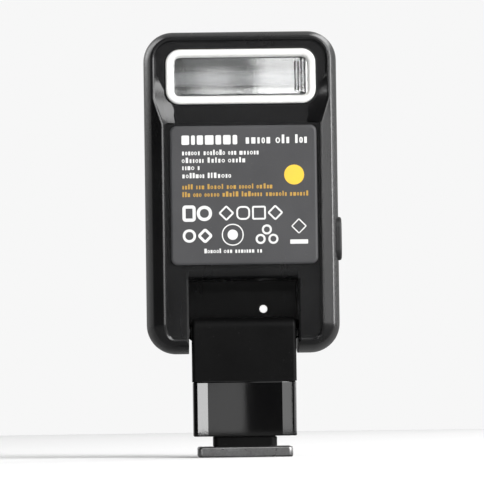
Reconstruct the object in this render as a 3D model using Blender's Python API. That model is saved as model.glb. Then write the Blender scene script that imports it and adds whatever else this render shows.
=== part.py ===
"""A compact folding speedlight flash: a shoe foot and short arm carry a flat head, which folds forward.

+X is to the right and -Y is the front, where the window is. The origin is on the foot's underside.
"""

import math

import bmesh
import bpy
from mathutils import Matrix, Vector

MM = 0.001  # the dimensions below are in millimetres, and as_object() turns them into metres
FIT_GAP = 0.1  # between pieces that are screwed or pressed together
ROUND = 24  # sides of a full circle
SMALL_ROUND = 14
WELD = 0.001  # points nearer than this are one

# Foot, riser and gloss sleeve, from the bottom up
PLATE_WIDTH, PLATE_LENGTH, PLATE_HIGH = 18.6, 18.0, 2.0
RISER_WIDTH, RISER_LENGTH, RISER_HIGH = 12.4, 16.8, 4.0
SLEEVE_WIDTH, SLEEVE_HIGH = 20.3, 14.8
ARM_WIDTH, ARM_DEPTH, ARM_HIGH = 20.4, 18.0, 27.3
ARM_WALL = 1.2
CORE_BASE_HIGH = 6.9
CONTACT_BLOCK = (-5.2, -7.4, 5.2, -1.0)  # left, front, right and back
HOT_CONTACT = (0.0, -3.2)
SIGNAL_CONTACTS = ((-3.2, -5.9), (3.2, -5.9), (-3.6, -2.4), (3.6, -2.4))
HOT_RADIUS, SIGNAL_RADIUS, CONTACT_GAP = 1.2, 0.65, 0.15
FOOT_SCREWS = ((-4.2, 1.4), (4.2, 1.4), (-4.2, 6.4), (4.2, 6.4))

# Fold hinge
HINGE_HIGH = 24.8
PIN_RADIUS, PIN_BORE, PIN_GAP = 1.1, 0.65, 0.2
PIN_INNER, PIN_OUTER = 4.2, 14.6

# Head outline and depth
HEAD_WIDTH, HEAD_LOW, HEAD_TOP, HEAD_CORNER = 38.2, 20.4, 84.1, 5.8
HEAD_WALL = 1.6
CORNER_STEPS = 6
FRONT_PROFILE = ((-0.1, 0.0), (-3.0, 0.08), (-5.6, 0.45), (-7.4, 0.98), (-8.7, 1.55))  # depth, inset
BACK_PROFILE = ((0.1, 0.0), (4.0, 0.08), (7.0, 0.5), (9.0, 1.35), (10.1, 2.2), (10.5, 3.1))
CAVITY_PROFILE = ((-6.75, 2.5), (-5.6, 1.75), (0.0, HEAD_WALL), (6.0, 1.8), (8.9, 3.4))
CHAMFER_RISE = 0.82  # depth gained for each millimetre that the front chamfer runs in
HEAD_RIM, BODY_RIM, BOTTOM_RIM = 1.75, 3.5, 2.4  # how far in the ridge lies
RIM_TURNS = (65.4, 70.6)  # the ridge runs in between these heights
STEP_LOW, STEP_HIGH = 65.4, 65.7  # from the label's floor back to the window's floor
WINDOW_FLOOR, LABEL_FLOOR = -8.05, -9.25
WINDOW_FLOOR_INSETS = ((65.7, 6.4), (68.6, 6.0), (71.2, 4.6), (75.3, 2.1))
SIDE_LEVELS = (65.4, 65.7, 67.2, 68.6, 70.6, 71.2, 73.2, 75.3)

# The slot in the head that clears the arm
POCKET_HALF, POCKET_TOP, POCKET_BACK, POCKET_WALL = 10.8, 34.9, 9.3, 1.2
BACK_OPEN_BELOW = 23.5

# Window and lamp
WINDOW_HIGH = 74.8
FRAME_HALF, FRAME_CORNER = (14.75, 5.4), 2.8
LENS_HALF, LENS_CORNER = (12.9, 3.75), 1.2
REFLECTOR_HALF, REFLECTOR_MOUTH, REFLECTOR_BACK = 13.2, -6.7, -0.2
TUBE_DEPTH, TUBE_RADIUS, TUBE_HALF = -2.4, 1.5, 14.9

# Controls
DIAL_HIGH, DIAL_RADIUS = 63.6, 11.2
BUTTON_SIDE, BUTTON_HIGH, BUTTON_RADIUS = 6.5, 43.0, 3.0
SIDE_BUTTON_AT, SIDE_BUTTON_HALF = (-3.2, 42.8), (2.3, 4.3)
STATUS_HIGH, STATUS_HALF = 48.9, (5.0, 0.9)
USB_DEPTH, USB_HIGH, USB_HALF = 5.4, 44.0, (1.6, 4.4)
INDICATOR_AT, INDICATOR_RADIUS = (4.3, 29.4), 0.9
COVER_SCREWS = ((-15.0, 79.4), (15.0, 79.4), (-14.5, 31.3), (14.5, 31.3))
BOSS_RADIUS, SHANK_RADIUS, SCREW_HEAD_RADIUS = 1.5, 0.55, 1.2


# ---- scene, materials and placing ----

def clear_scene():
    for old in list(bpy.data.objects):
        bpy.data.objects.remove(old, do_unlink=True)


def make_material(name, colour, roughness, metallic=0.0):
    material = bpy.data.materials.new(name)
    material.use_nodes = True
    shader = material.node_tree.nodes["Principled BSDF"]
    shader.inputs["Base Color"].default_value = (*colour, 1.0)
    shader.inputs["Roughness"].default_value = roughness
    shader.inputs["Metallic"].default_value = metallic
    return material


def make_materials():
    return {
        "black_plastic": make_material("black_plastic", (0.025, 0.025, 0.026), 0.45),
        "gloss_black": make_material("gloss_black", (0.012, 0.012, 0.013), 0.08),
        "soft_black": make_material("soft_black", (0.02, 0.02, 0.02), 0.7),
        "label_grey": make_material("label_grey", (0.09, 0.09, 0.092), 0.5),
        "frame_silver": make_material("frame_silver", (0.78, 0.78, 0.76), 0.3),
        "clear_lens": make_material("clear_lens", (0.9, 0.92, 0.92), 0.05),
        "mirror_metal": make_material("mirror_metal", (0.86, 0.86, 0.86), 0.15, 1.0),
        "steel": make_material("steel", (0.5, 0.5, 0.5), 0.35, 1.0),
        "gold": make_material("gold", (0.83, 0.62, 0.25), 0.3, 1.0),
        "dial_metal": make_material("dial_metal", (0.06, 0.06, 0.063), 0.35, 1.0),
        "board_green": make_material("board_green", (0.02, 0.12, 0.05), 0.5),
        "silicone": make_material("silicone", (0.6, 0.6, 0.58), 0.6),
        "cell_silver": make_material("cell_silver", (0.55, 0.56, 0.58), 0.4, 0.6),
        "sleeve_blue": make_material("sleeve_blue", (0.02, 0.03, 0.08), 0.35),
        "winding": make_material("winding", (0.5, 0.3, 0.05), 0.5),
        "white_lens": make_material("white_lens", (0.9, 0.9, 0.88), 0.4),
    }


def make_empty(name, at, parent=None):
    empty = bpy.data.objects.new(name, None)
    empty["at"] = at
    bpy.context.scene.collection.objects.link(empty)
    empty.parent = parent
    base = parent["at"] if parent else (0.0, 0.0, 0.0)
    empty.location = [(a - b) * MM for a, b in zip(at, base)]
    return empty


def as_object(shape, name, material, at, parent):
    """Turns a shape drawn in the part's own millimetres into an object whose origin is at the point given."""
    bmesh.ops.recalc_face_normals(shape, faces=shape.faces)
    bmesh.ops.transform(
        shape, matrix=Matrix.Scale(MM, 4) @ Matrix.Translation(-Vector(at)), verts=shape.verts
    )
    mesh = bpy.data.meshes.new(name)
    shape.to_mesh(mesh)
    shape.free()
    mesh.materials.append(material)
    mesh.shade_smooth()
    mesh.set_sharp_from_angle(angle=math.radians(35))
    made = bpy.data.objects.new(name, mesh)
    bpy.context.scene.collection.objects.link(made)
    made.parent = parent
    made.location = [(a - b) * MM for a, b in zip(at, parent["at"])]
    return made


def boolean(target, operation, shape):
    """Joins a shape to the target, or cuts it out, as a live modifier with a hidden helper object."""
    name = f"{target.name}_{operation.lower()}_{len(target.modifiers)}"
    helper = as_object(shape, name, target.data.materials[0], target["at"], target["stand"])
    helper.hide_render = True
    helper.display_type = "WIRE"
    modifier = target.modifiers.new(operation.title(), "BOOLEAN")
    modifier.operation = operation
    modifier.solver = "EXACT"
    modifier.object = helper
    return helper


class Builder:
    """Makes nodes of one body: every object is parented to the body's own empty."""

    def __init__(self, stand, materials):
        self.stand, self.materials = stand, materials

    def node(self, name, material, shape, at, cuts=(), joins=()):
        made = as_object(shape, name, self.materials[material], at, self.stand)
        made["at"], made["stand"] = at, self.stand
        for extra in joins:
            boolean(made, "UNION", extra)
        for cut in cuts:
            boolean(made, "DIFFERENCE", cut)
        return made


# ---- shapes, all in the part's own millimetres ----

def box(low, high, edge=0.0, steps=2, upright_only=False):
    """A block between two corners, with its edges, or only its upright ones, rounded."""
    shape = bmesh.new()
    bmesh.ops.create_cube(shape, size=1.0)
    middle = [(a + b) / 2 for a, b in zip(low, high)]
    size = [b - a for a, b in zip(low, high)]
    bmesh.ops.scale(shape, vec=size, verts=shape.verts)
    bmesh.ops.translate(shape, vec=middle, verts=shape.verts)
    if edge:
        chosen = [
            e for e in shape.edges
            if not upright_only or abs((e.verts[0].co - e.verts[1].co).normalized().z) > 0.9
        ]
        bmesh.ops.bevel(
            shape, geom=chosen, offset=edge, segments=steps, profile=0.5, affect="EDGES", material=-1
        )
    return shape


def place_in_3d(along, first, second, level):
    """The point at a level along an axis, with the other two coordinates in X, Y, Z order."""
    return {
        "X": (level, first, second),
        "Y": (first, level, second),
        "Z": (first, second, level),
    }[along]


def prism(outline, along, low, high):
    """An outline drawn across an axis, pulled along it."""
    shape = bmesh.new()
    verts = [shape.verts.new(place_in_3d(along, a, b, low)) for a, b in outline]
    face = shape.faces.new(verts)
    pulled = bmesh.ops.extrude_face_region(shape, geom=[face])["geom"]
    move = Vector(place_in_3d(along, 0.0, 0.0, high - low))
    bmesh.ops.translate(shape, vec=move, verts=[g for g in pulled if isinstance(g, bmesh.types.BMVert)])
    return shape


def arc(centre, radius, start, end, steps):
    """Points on an arc, both ends included; angles in degrees."""
    angles = [math.radians(start + (end - start) * k / steps) for k in range(steps + 1)]
    return [(centre[0] + radius * math.cos(a), centre[1] + radius * math.sin(a)) for a in angles]


def rounded_outline(half, radius, centre=(0.0, 0.0), steps=4):
    """A rectangle with round corners, as points anticlockwise."""
    across, up = half[0] - radius, half[1] - radius
    points = []
    for k, (side, rise) in enumerate(((1, 1), (-1, 1), (-1, -1), (1, -1))):
        middle = (centre[0] + side * across, centre[1] + rise * up)
        points += arc(middle, radius, 90 * k, 90 * k + 90, steps)
    return points


def turned(profile, along, centre, steps=ROUND):
    """A profile of (radius, level) pairs turned about an axis. A profile that misses the axis is a ring."""
    shape = bmesh.new()
    ring = min(radius for radius, _ in profile) > 0
    points = [place_in_3d(along, centre[0] + radius, centre[1], level) for radius, level in profile]
    middle = Vector(place_in_3d(along, centre[0], centre[1], 0.0))
    if along == "X":
        points = [(level, centre[0] + radius, centre[1]) for radius, level in profile]
    verts = [shape.verts.new(p) for p in points]
    pairs = list(zip(verts, verts[1:])) + ([(verts[-1], verts[0])] if ring else [])
    edges = [shape.edges.new(pair) for pair in pairs]
    bmesh.ops.spin(
        shape, geom=verts + edges, cent=middle, axis=place_in_3d(along, 0, 0, 1),
        angle=math.tau, steps=steps, use_merge=True,
    )
    bmesh.ops.remove_doubles(shape, verts=shape.verts, dist=WELD)
    return shape


def rod(along, centre, radius, low, high, steps=SMALL_ROUND):
    return turned([(0, low), (radius, low), (radius, high), (0, high)], along, centre, steps)


def ring(along, centre, inner, outer, low, high, steps=SMALL_ROUND):
    return turned([(inner, low), (outer, low), (outer, high), (inner, high)], along, centre, steps)


def loft(loops, close_start=True, close_end=True):
    """Quads between loops of equal count, with flat ends."""
    shape = bmesh.new()
    rows = [[shape.verts.new(p) for p in loop] for loop in loops]
    for row, following in zip(rows, rows[1:]):
        for k in range(len(row)):
            after = (k + 1) % len(row)
            shape.faces.new((row[k], row[after], following[after], following[k]))
    if close_start:
        shape.faces.new(rows[0])
    if close_end:
        shape.faces.new(rows[-1])
    return shape, rows


def joined(shapes):
    """One shape that holds several separate ones."""
    whole, carrier = bmesh.new(), bpy.data.meshes.new("carrier")
    for shape in shapes:
        bmesh.ops.recalc_face_normals(shape, faces=shape.faces)
        shape.to_mesh(carrier)
        shape.free()
        whole.from_mesh(carrier)
    bpy.data.meshes.remove(carrier)
    return whole


def between(value, table):
    """Straight-line interpolation in a table of (value, result) pairs, flat beyond its ends."""
    if value <= table[0][0]:
        return table[0][1]
    for (low, first), (high, second) in zip(table, table[1:]):
        if value <= high:
            return first + (second - first) * (value - low) / (high - low)
    return table[-1][1]


# ---- the head's outline ----

def head_stations():
    """(x, z, outward x, outward z) round the head, anticlockwise from the right side's lowest point."""
    half, radius = HEAD_WIDTH / 2, HEAD_CORNER
    levels = [HEAD_LOW + radius, *SIDE_LEVELS, HEAD_TOP - radius]

    def corner(side, rise, start):
        middle = (side * (half - radius), HEAD_TOP - radius if rise > 0 else HEAD_LOW + radius)
        return [
            (x, z, (x - middle[0]) / radius, (z - middle[1]) / radius)
            for x, z in arc(middle, radius, start, start + 90, CORNER_STEPS)
        ]

    right = [(half, z, 1.0, 0.0) for z in levels]
    left = [(-half, z, -1.0, 0.0) for z in reversed(levels)]
    return (
        right + corner(1, 1, 0)[1:] + corner(-1, 1, 90)[:-1]
        + left + corner(-1, -1, 180)[1:] + corner(1, -1, 270)[:-1]
    )


def inset_loop(stations, depth, inset):
    return [(x - nx * inset, depth, z - nz * inset) for x, z, nx, nz in stations]


def ridge_inset(z, nz):
    """How far in the front ridge lies: narrow round the window, wide beside the label, fading at the foot."""
    if nz < -0.01:
        return BODY_RIM + (BOTTOM_RIM - BODY_RIM) * nz * nz
    return between(z, ((RIM_TURNS[0], BODY_RIM), (RIM_TURNS[1], HEAD_RIM)))


def floor_inset(z, nz):
    """How far in the front floor starts: beside the window it widens into a sloping facet."""
    if z > STEP_LOW + 0.01 and nz >= 0:
        widest = between(z, WINDOW_FLOOR_INSETS)
        return max(widest, HEAD_RIM + 0.35)
    return ridge_inset(z, nz) + 0.45 - 0.2 * nz * nz


def ridge_loop(stations):
    start_depth, start_inset = FRONT_PROFILE[-1]
    points = []
    for x, z, nx, nz in stations:
        inset = ridge_inset(z, nz)
        depth = start_depth - (inset - start_inset) * CHAMFER_RISE
        points.append((x - nx * inset, depth, z - nz * inset))
    return points


def floor_loop(stations):
    points = []
    for x, z, nx, nz in stations:
        inset = floor_inset(z, nz)
        depth = WINDOW_FLOOR if z > STEP_LOW + 0.01 else LABEL_FLOOR
        points.append((x - nx * inset, depth, z - nz * inset))
    return points


def front_block():
    """The front half before it is hollowed: side, chamfer, ridge, sloping facets and the two floors."""
    stations = head_stations()
    loops = [inset_loop(stations, depth, inset) for depth, inset in FRONT_PROFILE]
    loops += [ridge_loop(stations), floor_loop(stations)]
    shape, rows = loft(loops, close_end=False)
    floor = rows[-1]
    low = [k for k, s in enumerate(stations) if abs(s[1] - STEP_LOW) < 1e-6]
    right, left = min(low), max(low)  # the stations just under the step on each side
    shape.faces.new(floor[right + 1:left])  # window floor
    shape.faces.new((floor[right], floor[right + 1], floor[left - 1], floor[left]))  # the step
    shape.faces.new(floor[left:] + floor[:right + 1])  # label floor
    return shape


def back_block():
    stations = head_stations()
    return loft([inset_loop(stations, depth, inset) for depth, inset in BACK_PROFILE])[0]


def add_cavity(cover, boss_from, boss_to):
    """Hollows a cover, leaving the screw bosses and the walls of the slot that the arm folds into."""
    stations = head_stations()
    loops = [inset_loop(stations, depth, inset) for depth, inset in CAVITY_PROFILE]
    helper = boolean(cover, "DIFFERENCE", loft(loops)[0])
    helper["at"], helper["stand"] = cover["at"], cover["stand"]
    wall = POCKET_HALF + POCKET_WALL
    boolean(helper, "DIFFERENCE", box((-wall, -15, 10), (wall, 15, POCKET_TOP + POCKET_WALL)))
    boolean(helper, "DIFFERENCE", joined(rod("Y", at, BOSS_RADIUS, boss_from, boss_to) for at in COVER_SCREWS))


# ---- the foot and arm ----

def foot_holes(low, high, radius):
    return [rod("Z", at, radius, low, high, 10) for at in FOOT_SCREWS]


def contact_window(low, high):
    left, front, right, back = CONTACT_BLOCK
    gap = 2 * FIT_GAP
    return box((left - gap, front - gap, low), (right + gap, back + gap, high))


def build_foot(foot):
    half_width, half_length = PLATE_WIDTH / 2, PLATE_LENGTH / 2
    foot.node(
        "shoe_plate", "steel",
        box((-half_width, -half_length, 0), (half_width, half_length, PLATE_HIGH), 0.7, 2, True),
        (0, 0, 0),
        cuts=[contact_window(-1, 3), *foot_holes(-1, 3, 0.95), *foot_holes(-1, 1.1, 1.75)],
    )
    half_width, half_length = RISER_WIDTH / 2, RISER_LENGTH / 2
    foot.node(
        "shoe_riser", "black_plastic",
        box((-half_width, -half_length, PLATE_HIGH + FIT_GAP), (half_width, half_length, RISER_HIGH), 0.6, 2, True),
        (0, 0, PLATE_HIGH),
        cuts=[contact_window(1, 5), *foot_holes(1, 5, 0.95)],
    )
    half_width, half_depth = SLEEVE_WIDTH / 2, ARM_DEPTH / 2
    low = RISER_HIGH + FIT_GAP
    foot.node(
        "gloss_sleeve", "gloss_black",
        box((-half_width, -half_depth, low), (half_width, half_depth, SLEEVE_HIGH), 1.6, 4, True),
        (0, 0, low),
        cuts=[
            box(
                (-half_width + ARM_WALL, -half_depth + ARM_WALL, low + ARM_WALL),
                (half_width - ARM_WALL, half_depth - ARM_WALL, SLEEVE_HIGH + 1), 0.6, 2, True,
            ),
            contact_window(3, 7), *foot_holes(3, 7, 0.95),
        ],
    )
    for number, at in enumerate(FOOT_SCREWS, 1):
        profile = [(0, 0.15), (1.5, 0.15), (1.5, 0.5), (0.7, 1.0), (0.7, 6.6), (0, 6.6)]
        foot.node(f"foot_screw_{number}", "steel", turned(profile, "Z", at, SMALL_ROUND), (*at, 0))


def build_contacts(foot, spring_stands):
    left, front, right, back = CONTACT_BLOCK
    radii = [(HOT_CONTACT, HOT_RADIUS), *[(at, SIGNAL_RADIUS) for at in SIGNAL_CONTACTS]]
    foot.node(
        "contact_block", "soft_black", box((left, front, 0.1), (right, back, CORE_BASE_HIGH)), (0, -4.2, 0),
        cuts=[rod("Z", at, radius + CONTACT_GAP, -1, 8) for at, radius in radii],
    )
    foot.node("contact_board", "board_green", box((-6.0, -7.4, 7.1), (6.0, 3.6, 7.9)), (0, -2, 7.1))
    names = ["hot_contact"] + [f"signal_contact_{k}" for k in range(1, 5)]
    for name, (at, radius), stand in zip(names, radii, spring_stands):
        tip = radius * 0.35
        profile = [(0, 0.1), (radius - tip, 0.1), (radius, 0.1 + tip), (radius, 6.2), (0, 6.2)]
        stand.node(name, "gold", turned(profile, "Z", at, SMALL_ROUND), (*at, 0.1))


def arm_cover(front):
    """Half of the arm's casing, with a rounded top edge. front is -1 for the front half and 1 for the back."""
    depth, low, high = ARM_DEPTH / 2, SLEEVE_HIGH + 0.2, ARM_HIGH
    round_top = 2.0
    side = [(0.1, low), (depth, low)]
    side += arc((depth - round_top, high - round_top), round_top, 0, 90, 5)
    side += [(0.1, high)]
    shape = prism([(front * y, z) for y, z in side], "X", -ARM_WIDTH / 2, ARM_WIDTH / 2)
    upright = [
        e for e in shape.edges
        if all(abs(abs(v.co.y) - depth) < 1e-4 and abs(abs(v.co.x) - ARM_WIDTH / 2) < 1e-4 for v in e.verts)
    ]
    bmesh.ops.bevel(shape, geom=upright, offset=0.9, segments=3, profile=0.5, affect="EDGES", material=-1)
    return shape


def build_arm(foot):
    low, inside = SLEEVE_HIGH + 0.2, ARM_WIDTH / 2 - ARM_WALL
    for name, front in (("arm_front_cover", -1), ("arm_back_cover", 1)):
        hollow = box(
            (-inside, -ARM_DEPTH / 2 + ARM_WALL, low - 1), (inside, ARM_DEPTH / 2 - ARM_WALL, ARM_HIGH - 0.9)
        )
        axle_hole = rod("X", (0, HINGE_HIGH), 1.9, -12, 12)
        foot.node(name, "black_plastic", arm_cover(front), (0, 4.5 * front, low), cuts=[hollow, axle_hole])
    cheek_out, cheek_in, cheek_top = 7.4, 6.2, ARM_HIGH - 1.0
    base_low, base_half = RISER_HIGH + ARM_WALL + 2 * FIT_GAP, 8.4
    outline = [
        (-base_half, base_low), (base_half, base_low), (base_half, CORE_BASE_HIGH), (cheek_out, CORE_BASE_HIGH),
        (cheek_out, cheek_top), (cheek_in, cheek_top), (cheek_in, CORE_BASE_HIGH), (-cheek_in, CORE_BASE_HIGH),
        (-cheek_in, cheek_top), (-cheek_out, cheek_top), (-cheek_out, CORE_BASE_HIGH), (-base_half, CORE_BASE_HIGH),
    ]
    foot.node(
        "arm_core", "steel", prism(outline, "Y", -7.2, 7.2), (0, 0, base_low),
        cuts=[
            contact_window(4, 8), *foot_holes(4, 8, 0.95),
            rod("X", (0, HINGE_HIGH), PIN_RADIUS + 0.15, -12, 12),
            box((-8, -9, CORE_BASE_HIGH + 1.5), (8, -3.4, 30)),
            box((-8, 3.4, CORE_BASE_HIGH + 1.5), (8, 9, 30)),
        ],
    )
    for name, side in (("hinge_bush_left", -1), ("hinge_bush_right", 1)):
        low_x, high_x = sorted((side * 7.6, side * 10.55))
        shape = ring("X", (0, HINGE_HIGH), PIN_RADIUS + 0.1, 1.75, low_x, high_x)
        foot.node(name, "gold", shape, (side * 9, 0, HINGE_HIGH))
    foot.node(
        "friction_clip", "steel", box((4.35, -2.6, 21.4), (6.0, 2.6, 26.3), 0.3, 1),
        (5.2, 0, HINGE_HIGH), cuts=[rod("X", (0, HINGE_HIGH), PIN_RADIUS + 0.06, 3, 7)],
    )


def wire(builder, name, points, radius):
    """A round cable on a smooth curve through its own points, with filled ends."""
    line = bpy.data.curves.new(name, "CURVE")
    line.dimensions = "3D"
    line.bevel_depth = radius * MM
    line.bevel_resolution = 1
    line.use_fill_caps = True
    spline = line.splines.new("POLY")
    smooth = smooth_points(points)
    origin = Vector(points[0])
    spline.points.add(len(smooth) - 1)
    for point, place in zip(spline.points, smooth):
        point.co = (*((place - origin) * MM), 1.0)
    line.materials.append(builder.materials["soft_black"])
    made = bpy.data.objects.new(name, line)
    bpy.context.scene.collection.objects.link(made)
    made.parent = builder.stand
    made.location = (origin - Vector(builder.stand["at"])) * MM
    return made


def smooth_points(points, steps=5):
    """Points of a Catmull-Rom curve through the given ones."""
    given = [Vector(p) for p in points]
    padded = [2 * given[0] - given[1], *given, 2 * given[-1] - given[-2]]
    found = []
    for a, b, c, d in zip(padded, padded[1:], padded[2:], padded[3:]):
        for k in range(steps):
            t = k / steps
            found.append(
                0.5 * (2 * b + (c - a) * t + (2 * a - 5 * b + 4 * c - d) * t ** 2 + (3 * b - a - 3 * c + d) * t ** 3)
            )
    return [*found, given[-1]]


# ---- the head ----

def pocket_slot():
    return box((-POCKET_HALF, -15, 10), (POCKET_HALF, POCKET_BACK, POCKET_TOP))


def pin_hole():
    return rod("X", (0, HINGE_HIGH), PIN_RADIUS + FIT_GAP, -13, 13)


def build_front_cover(head):
    window = [half + 0.15 for half in FRAME_HALF]
    side_hole = [half + 0.25 for half in SIDE_BUTTON_HALF]
    front = head.node("front_cover", "black_plastic", front_block(), (0, 0, HINGE_HIGH))
    add_cavity(front, -15, -0.3)
    openings = joined([
        prism(rounded_outline(window, FRAME_CORNER + 0.15, (0, WINDOW_HIGH)), "Y", -12, -5),
        prism(rounded_outline(side_hole, 2.5, SIDE_BUTTON_AT), "X", 15, 21),
        *[rod("Y", at, SHANK_RADIUS + FIT_GAP, -6.2, 1, 10) for at in COVER_SCREWS],
    ])
    for cut in (pocket_slot(), openings, pin_hole()):
        boolean(front, "DIFFERENCE", cut)


def build_back_cover(head):
    usb = [half + 0.25 for half in USB_HALF]
    status = [half + 0.2 for half in STATUS_HALF]
    shank, screw_head = SHANK_RADIUS + FIT_GAP, SCREW_HEAD_RADIUS + 2 * FIT_GAP
    screw_hole = [(0, -1), (shank, -1), (shank, 9.3), (screw_head, 9.3), (screw_head, 12), (0, 12)]
    dial_hole = [
        (0, 8), (3.2, 8), (3.2, 9.7), (DIAL_RADIUS + 0.4, 9.7), (DIAL_RADIUS + 0.4, 12), (0, 12),
    ]
    back = head.node("back_cover", "black_plastic", back_block(), (0, 0, HINGE_HIGH))
    add_cavity(back, 0.3, 15)
    openings = joined([
        *[turned(screw_hole, "Y", at, 10) for at in COVER_SCREWS],
        turned(dial_hole, "Y", (0, DIAL_HIGH), 36),
        rod("Y", (-BUTTON_SIDE, BUTTON_HIGH), BUTTON_RADIUS + 0.3, 8, 12, ROUND),
        rod("Y", (BUTTON_SIDE, BUTTON_HIGH), BUTTON_RADIUS + 0.3, 8, 12, ROUND),
        prism(rounded_outline(status, status[1], (0, STATUS_HIGH)), "Y", 8, 12),
        prism(rounded_outline(usb, usb[0], (USB_DEPTH, USB_HIGH)), "X", -21, -16),
        rod("Y", INDICATOR_AT, INDICATOR_RADIUS + 0.2, 8, 12),
    ])
    open_below = box((-POCKET_HALF, 0, 10), (POCKET_HALF, 15, BACK_OPEN_BELOW))
    for cut in (pocket_slot(), open_below, openings, pin_hole()):
        boolean(back, "DIFFERENCE", cut)


def build_window(head):
    outer = rounded_outline(FRAME_HALF, FRAME_CORNER, (0, WINDOW_HIGH), 5)
    opening = [half + 0.15 for half in LENS_HALF]
    inner = rounded_outline(opening, LENS_CORNER + 0.15, (0, WINDOW_HIGH))
    head.node(
        "window_frame", "frame_silver", prism(outer, "Y", -8.6, -6.9), (0, -8, WINDOW_HIGH),
        cuts=[prism(inner, "Y", -10, -5)],
    )
    panel = rounded_outline(LENS_HALF, LENS_CORNER, (0, WINDOW_HIGH))
    head.node("fresnel_lens", "clear_lens", prism(panel, "Y", -8.4, -7.2), (0, -8, WINDOW_HIGH))


def trough(mouth_half, mouth, back, steps=7):
    """The reflector's parabolic section, open at the mouth, as (depth, height) points."""
    upper = []
    for k in range(steps + 1):
        rise = mouth_half * (1 - k / steps)
        depth = back - (back - mouth) * (rise / mouth_half) ** 2
        upper.append((depth, WINDOW_HIGH + rise))
    lower = [(depth, 2 * WINDOW_HIGH - height) for depth, height in reversed(upper[:-1])]
    return upper + lower


def build_lamp(head):
    inside = trough(3.9, REFLECTOR_MOUTH, REFLECTOR_BACK)
    outside = trough(4.3, REFLECTOR_MOUTH, REFLECTOR_BACK + 0.5)
    mouth = [(REFLECTOR_MOUTH - 1, inside[-1][1]), (REFLECTOR_MOUTH - 1, inside[0][1])]
    head.node(
        "reflector", "mirror_metal", prism(outside, "X", -REFLECTOR_HALF, REFLECTOR_HALF), (0, -3, WINDOW_HIGH),
        cuts=[
            prism(inside + mouth, "X", -REFLECTOR_HALF + 0.5, REFLECTOR_HALF - 0.5),
            rod("X", (TUBE_DEPTH, WINDOW_HIGH), TUBE_RADIUS + 0.25, -20, 20),
        ],
    )
    centre = (TUBE_DEPTH, WINDOW_HIGH)
    head.node("xenon_tube", "clear_lens", rod("X", centre, TUBE_RADIUS, -TUBE_HALF, TUBE_HALF), (0, *centre))
    for name, side in (("left", -1), ("right", 1)):
        low, high = sorted((side * (TUBE_HALF + 0.1), side * 17.0))
        head.node(f"tube_electrode_{name}", "steel", rod("X", centre, 0.8, low, high), (side * 16, *centre))
        low, high = sorted((side * 13.4, side * 14.8))
        boot = ring("X", centre, TUBE_RADIUS + 0.1, 2.6, low, high)
        head.node(f"tube_boot_{name}", "silicone", boot, (side * 14, *centre))
    head.node("trigger_coil", "winding", rod("X", (6.2, 77.6), 2.1, -12, -3), (-7.5, 6.2, 77.6))


def build_electronics(head):
    head.node(
        "main_capacitor", "sleeve_blue",
        turned([(0, -16.8), (4.0, -16.8), (4.4, -16.4), (4.4, 6.0), (4.0, 6.4), (0, 6.4)], "X", (-2.2, 64.2)),
        (-5.2, -2.2, 64.2),
    )
    head.node("battery", "cell_silver", box((-16.9, -6.5, 38.0), (12.6, 0.6, 57.6), 0.9, 2), (-2.2, -3, 38))
    head.node("main_board", "board_green", box((-16.0, 2.6, 37.2), (16.0, 3.6, 77.2)), (0, 3, 37.2))
    head.node("charging_transformer", "winding", box((8.0, -6.0, 60.0), (16.4, 1.6, 68.4), 0.8, 1), (12, -2, 60))
    head.node(
        "dial_encoder", "soft_black", box((-5, 3.7, DIAL_HIGH - 5), (5, 7.6, DIAL_HIGH + 5), 0.4, 1),
        (0, 3.7, DIAL_HIGH), cuts=[rod("Y", (0, DIAL_HIGH), 1.8, 4.8, 9)],
    )
    for name, side in (("mode_switch", -1), ("test_switch", 1)):
        x = side * BUTTON_SIDE
        head.node(
            name, "soft_black", box((x - 3, 3.7, BUTTON_HIGH - 3), (x + 3, 6.4, BUTTON_HIGH + 3)),
            (x, 3.7, BUTTON_HIGH), joins=[rod("Y", (x, BUTTON_HIGH), 1.5, 6.0, 7.0)],
        )
    y, z = SIDE_BUTTON_AT
    head.node(
        "side_switch", "soft_black", box((13.2, y - 2, z - 3), (15.2, y + 2, z + 3)), (14, y, z),
        joins=[rod("X", (y, z), 1.0, 15.0, 15.7)],
    )
    usb_outer = rounded_outline(USB_HALF, 1.5, (USB_DEPTH, USB_HIGH))
    usb_inner = rounded_outline([h - 0.3 for h in USB_HALF], 1.25, (USB_DEPTH, USB_HIGH))
    head.node(
        "usb_shell", "steel", prism(usb_outer, "X", -18.4, -11.4), (-15, USB_DEPTH, USB_HIGH),
        cuts=[prism(usb_inner, "X", -20, -12.0)],
    )
    head.node(
        "usb_tongue", "soft_black",
        box((-17.6, USB_DEPTH - 0.35, USB_HIGH - 3.2), (-12.1, USB_DEPTH + 0.35, USB_HIGH + 3.2)),
        (-15, USB_DEPTH, USB_HIGH),
    )


def build_trim(head):
    label = rounded_outline((14.4, 13.65), 1.3, (0.3, 51.35))
    head.node("label_plate", "label_grey", prism(label, "Y", -10.0, -9.4), (0, -9.4, 51.35))
    head.node(
        "indicator_lens", "white_lens", rod("Y", INDICATOR_AT, INDICATOR_RADIUS, 9.15, 10.6),
        (INDICATOR_AT[0], 9, INDICATOR_AT[1]),
    )
    status = rounded_outline(STATUS_HALF, STATUS_HALF[1], (0, STATUS_HIGH))
    head.node("status_lens", "white_lens", prism(status, "Y", 8.6, 10.6), (0, 9, STATUS_HIGH))
    for number, at in enumerate(COVER_SCREWS, 1):
        shank, head_edge = SHANK_RADIUS, SCREW_HEAD_RADIUS
        profile = [
            (0, -5.8), (shank, -5.8), (shank, 9.4), (head_edge, 9.4), (head_edge, 9.9),
            (head_edge - 0.3, 10.2), (0, 10.2),
        ]
        head.node(f"cover_screw_{number}", "steel", turned(profile, "Y", at, SMALL_ROUND), (at[0], 9.4, at[1]))


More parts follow.
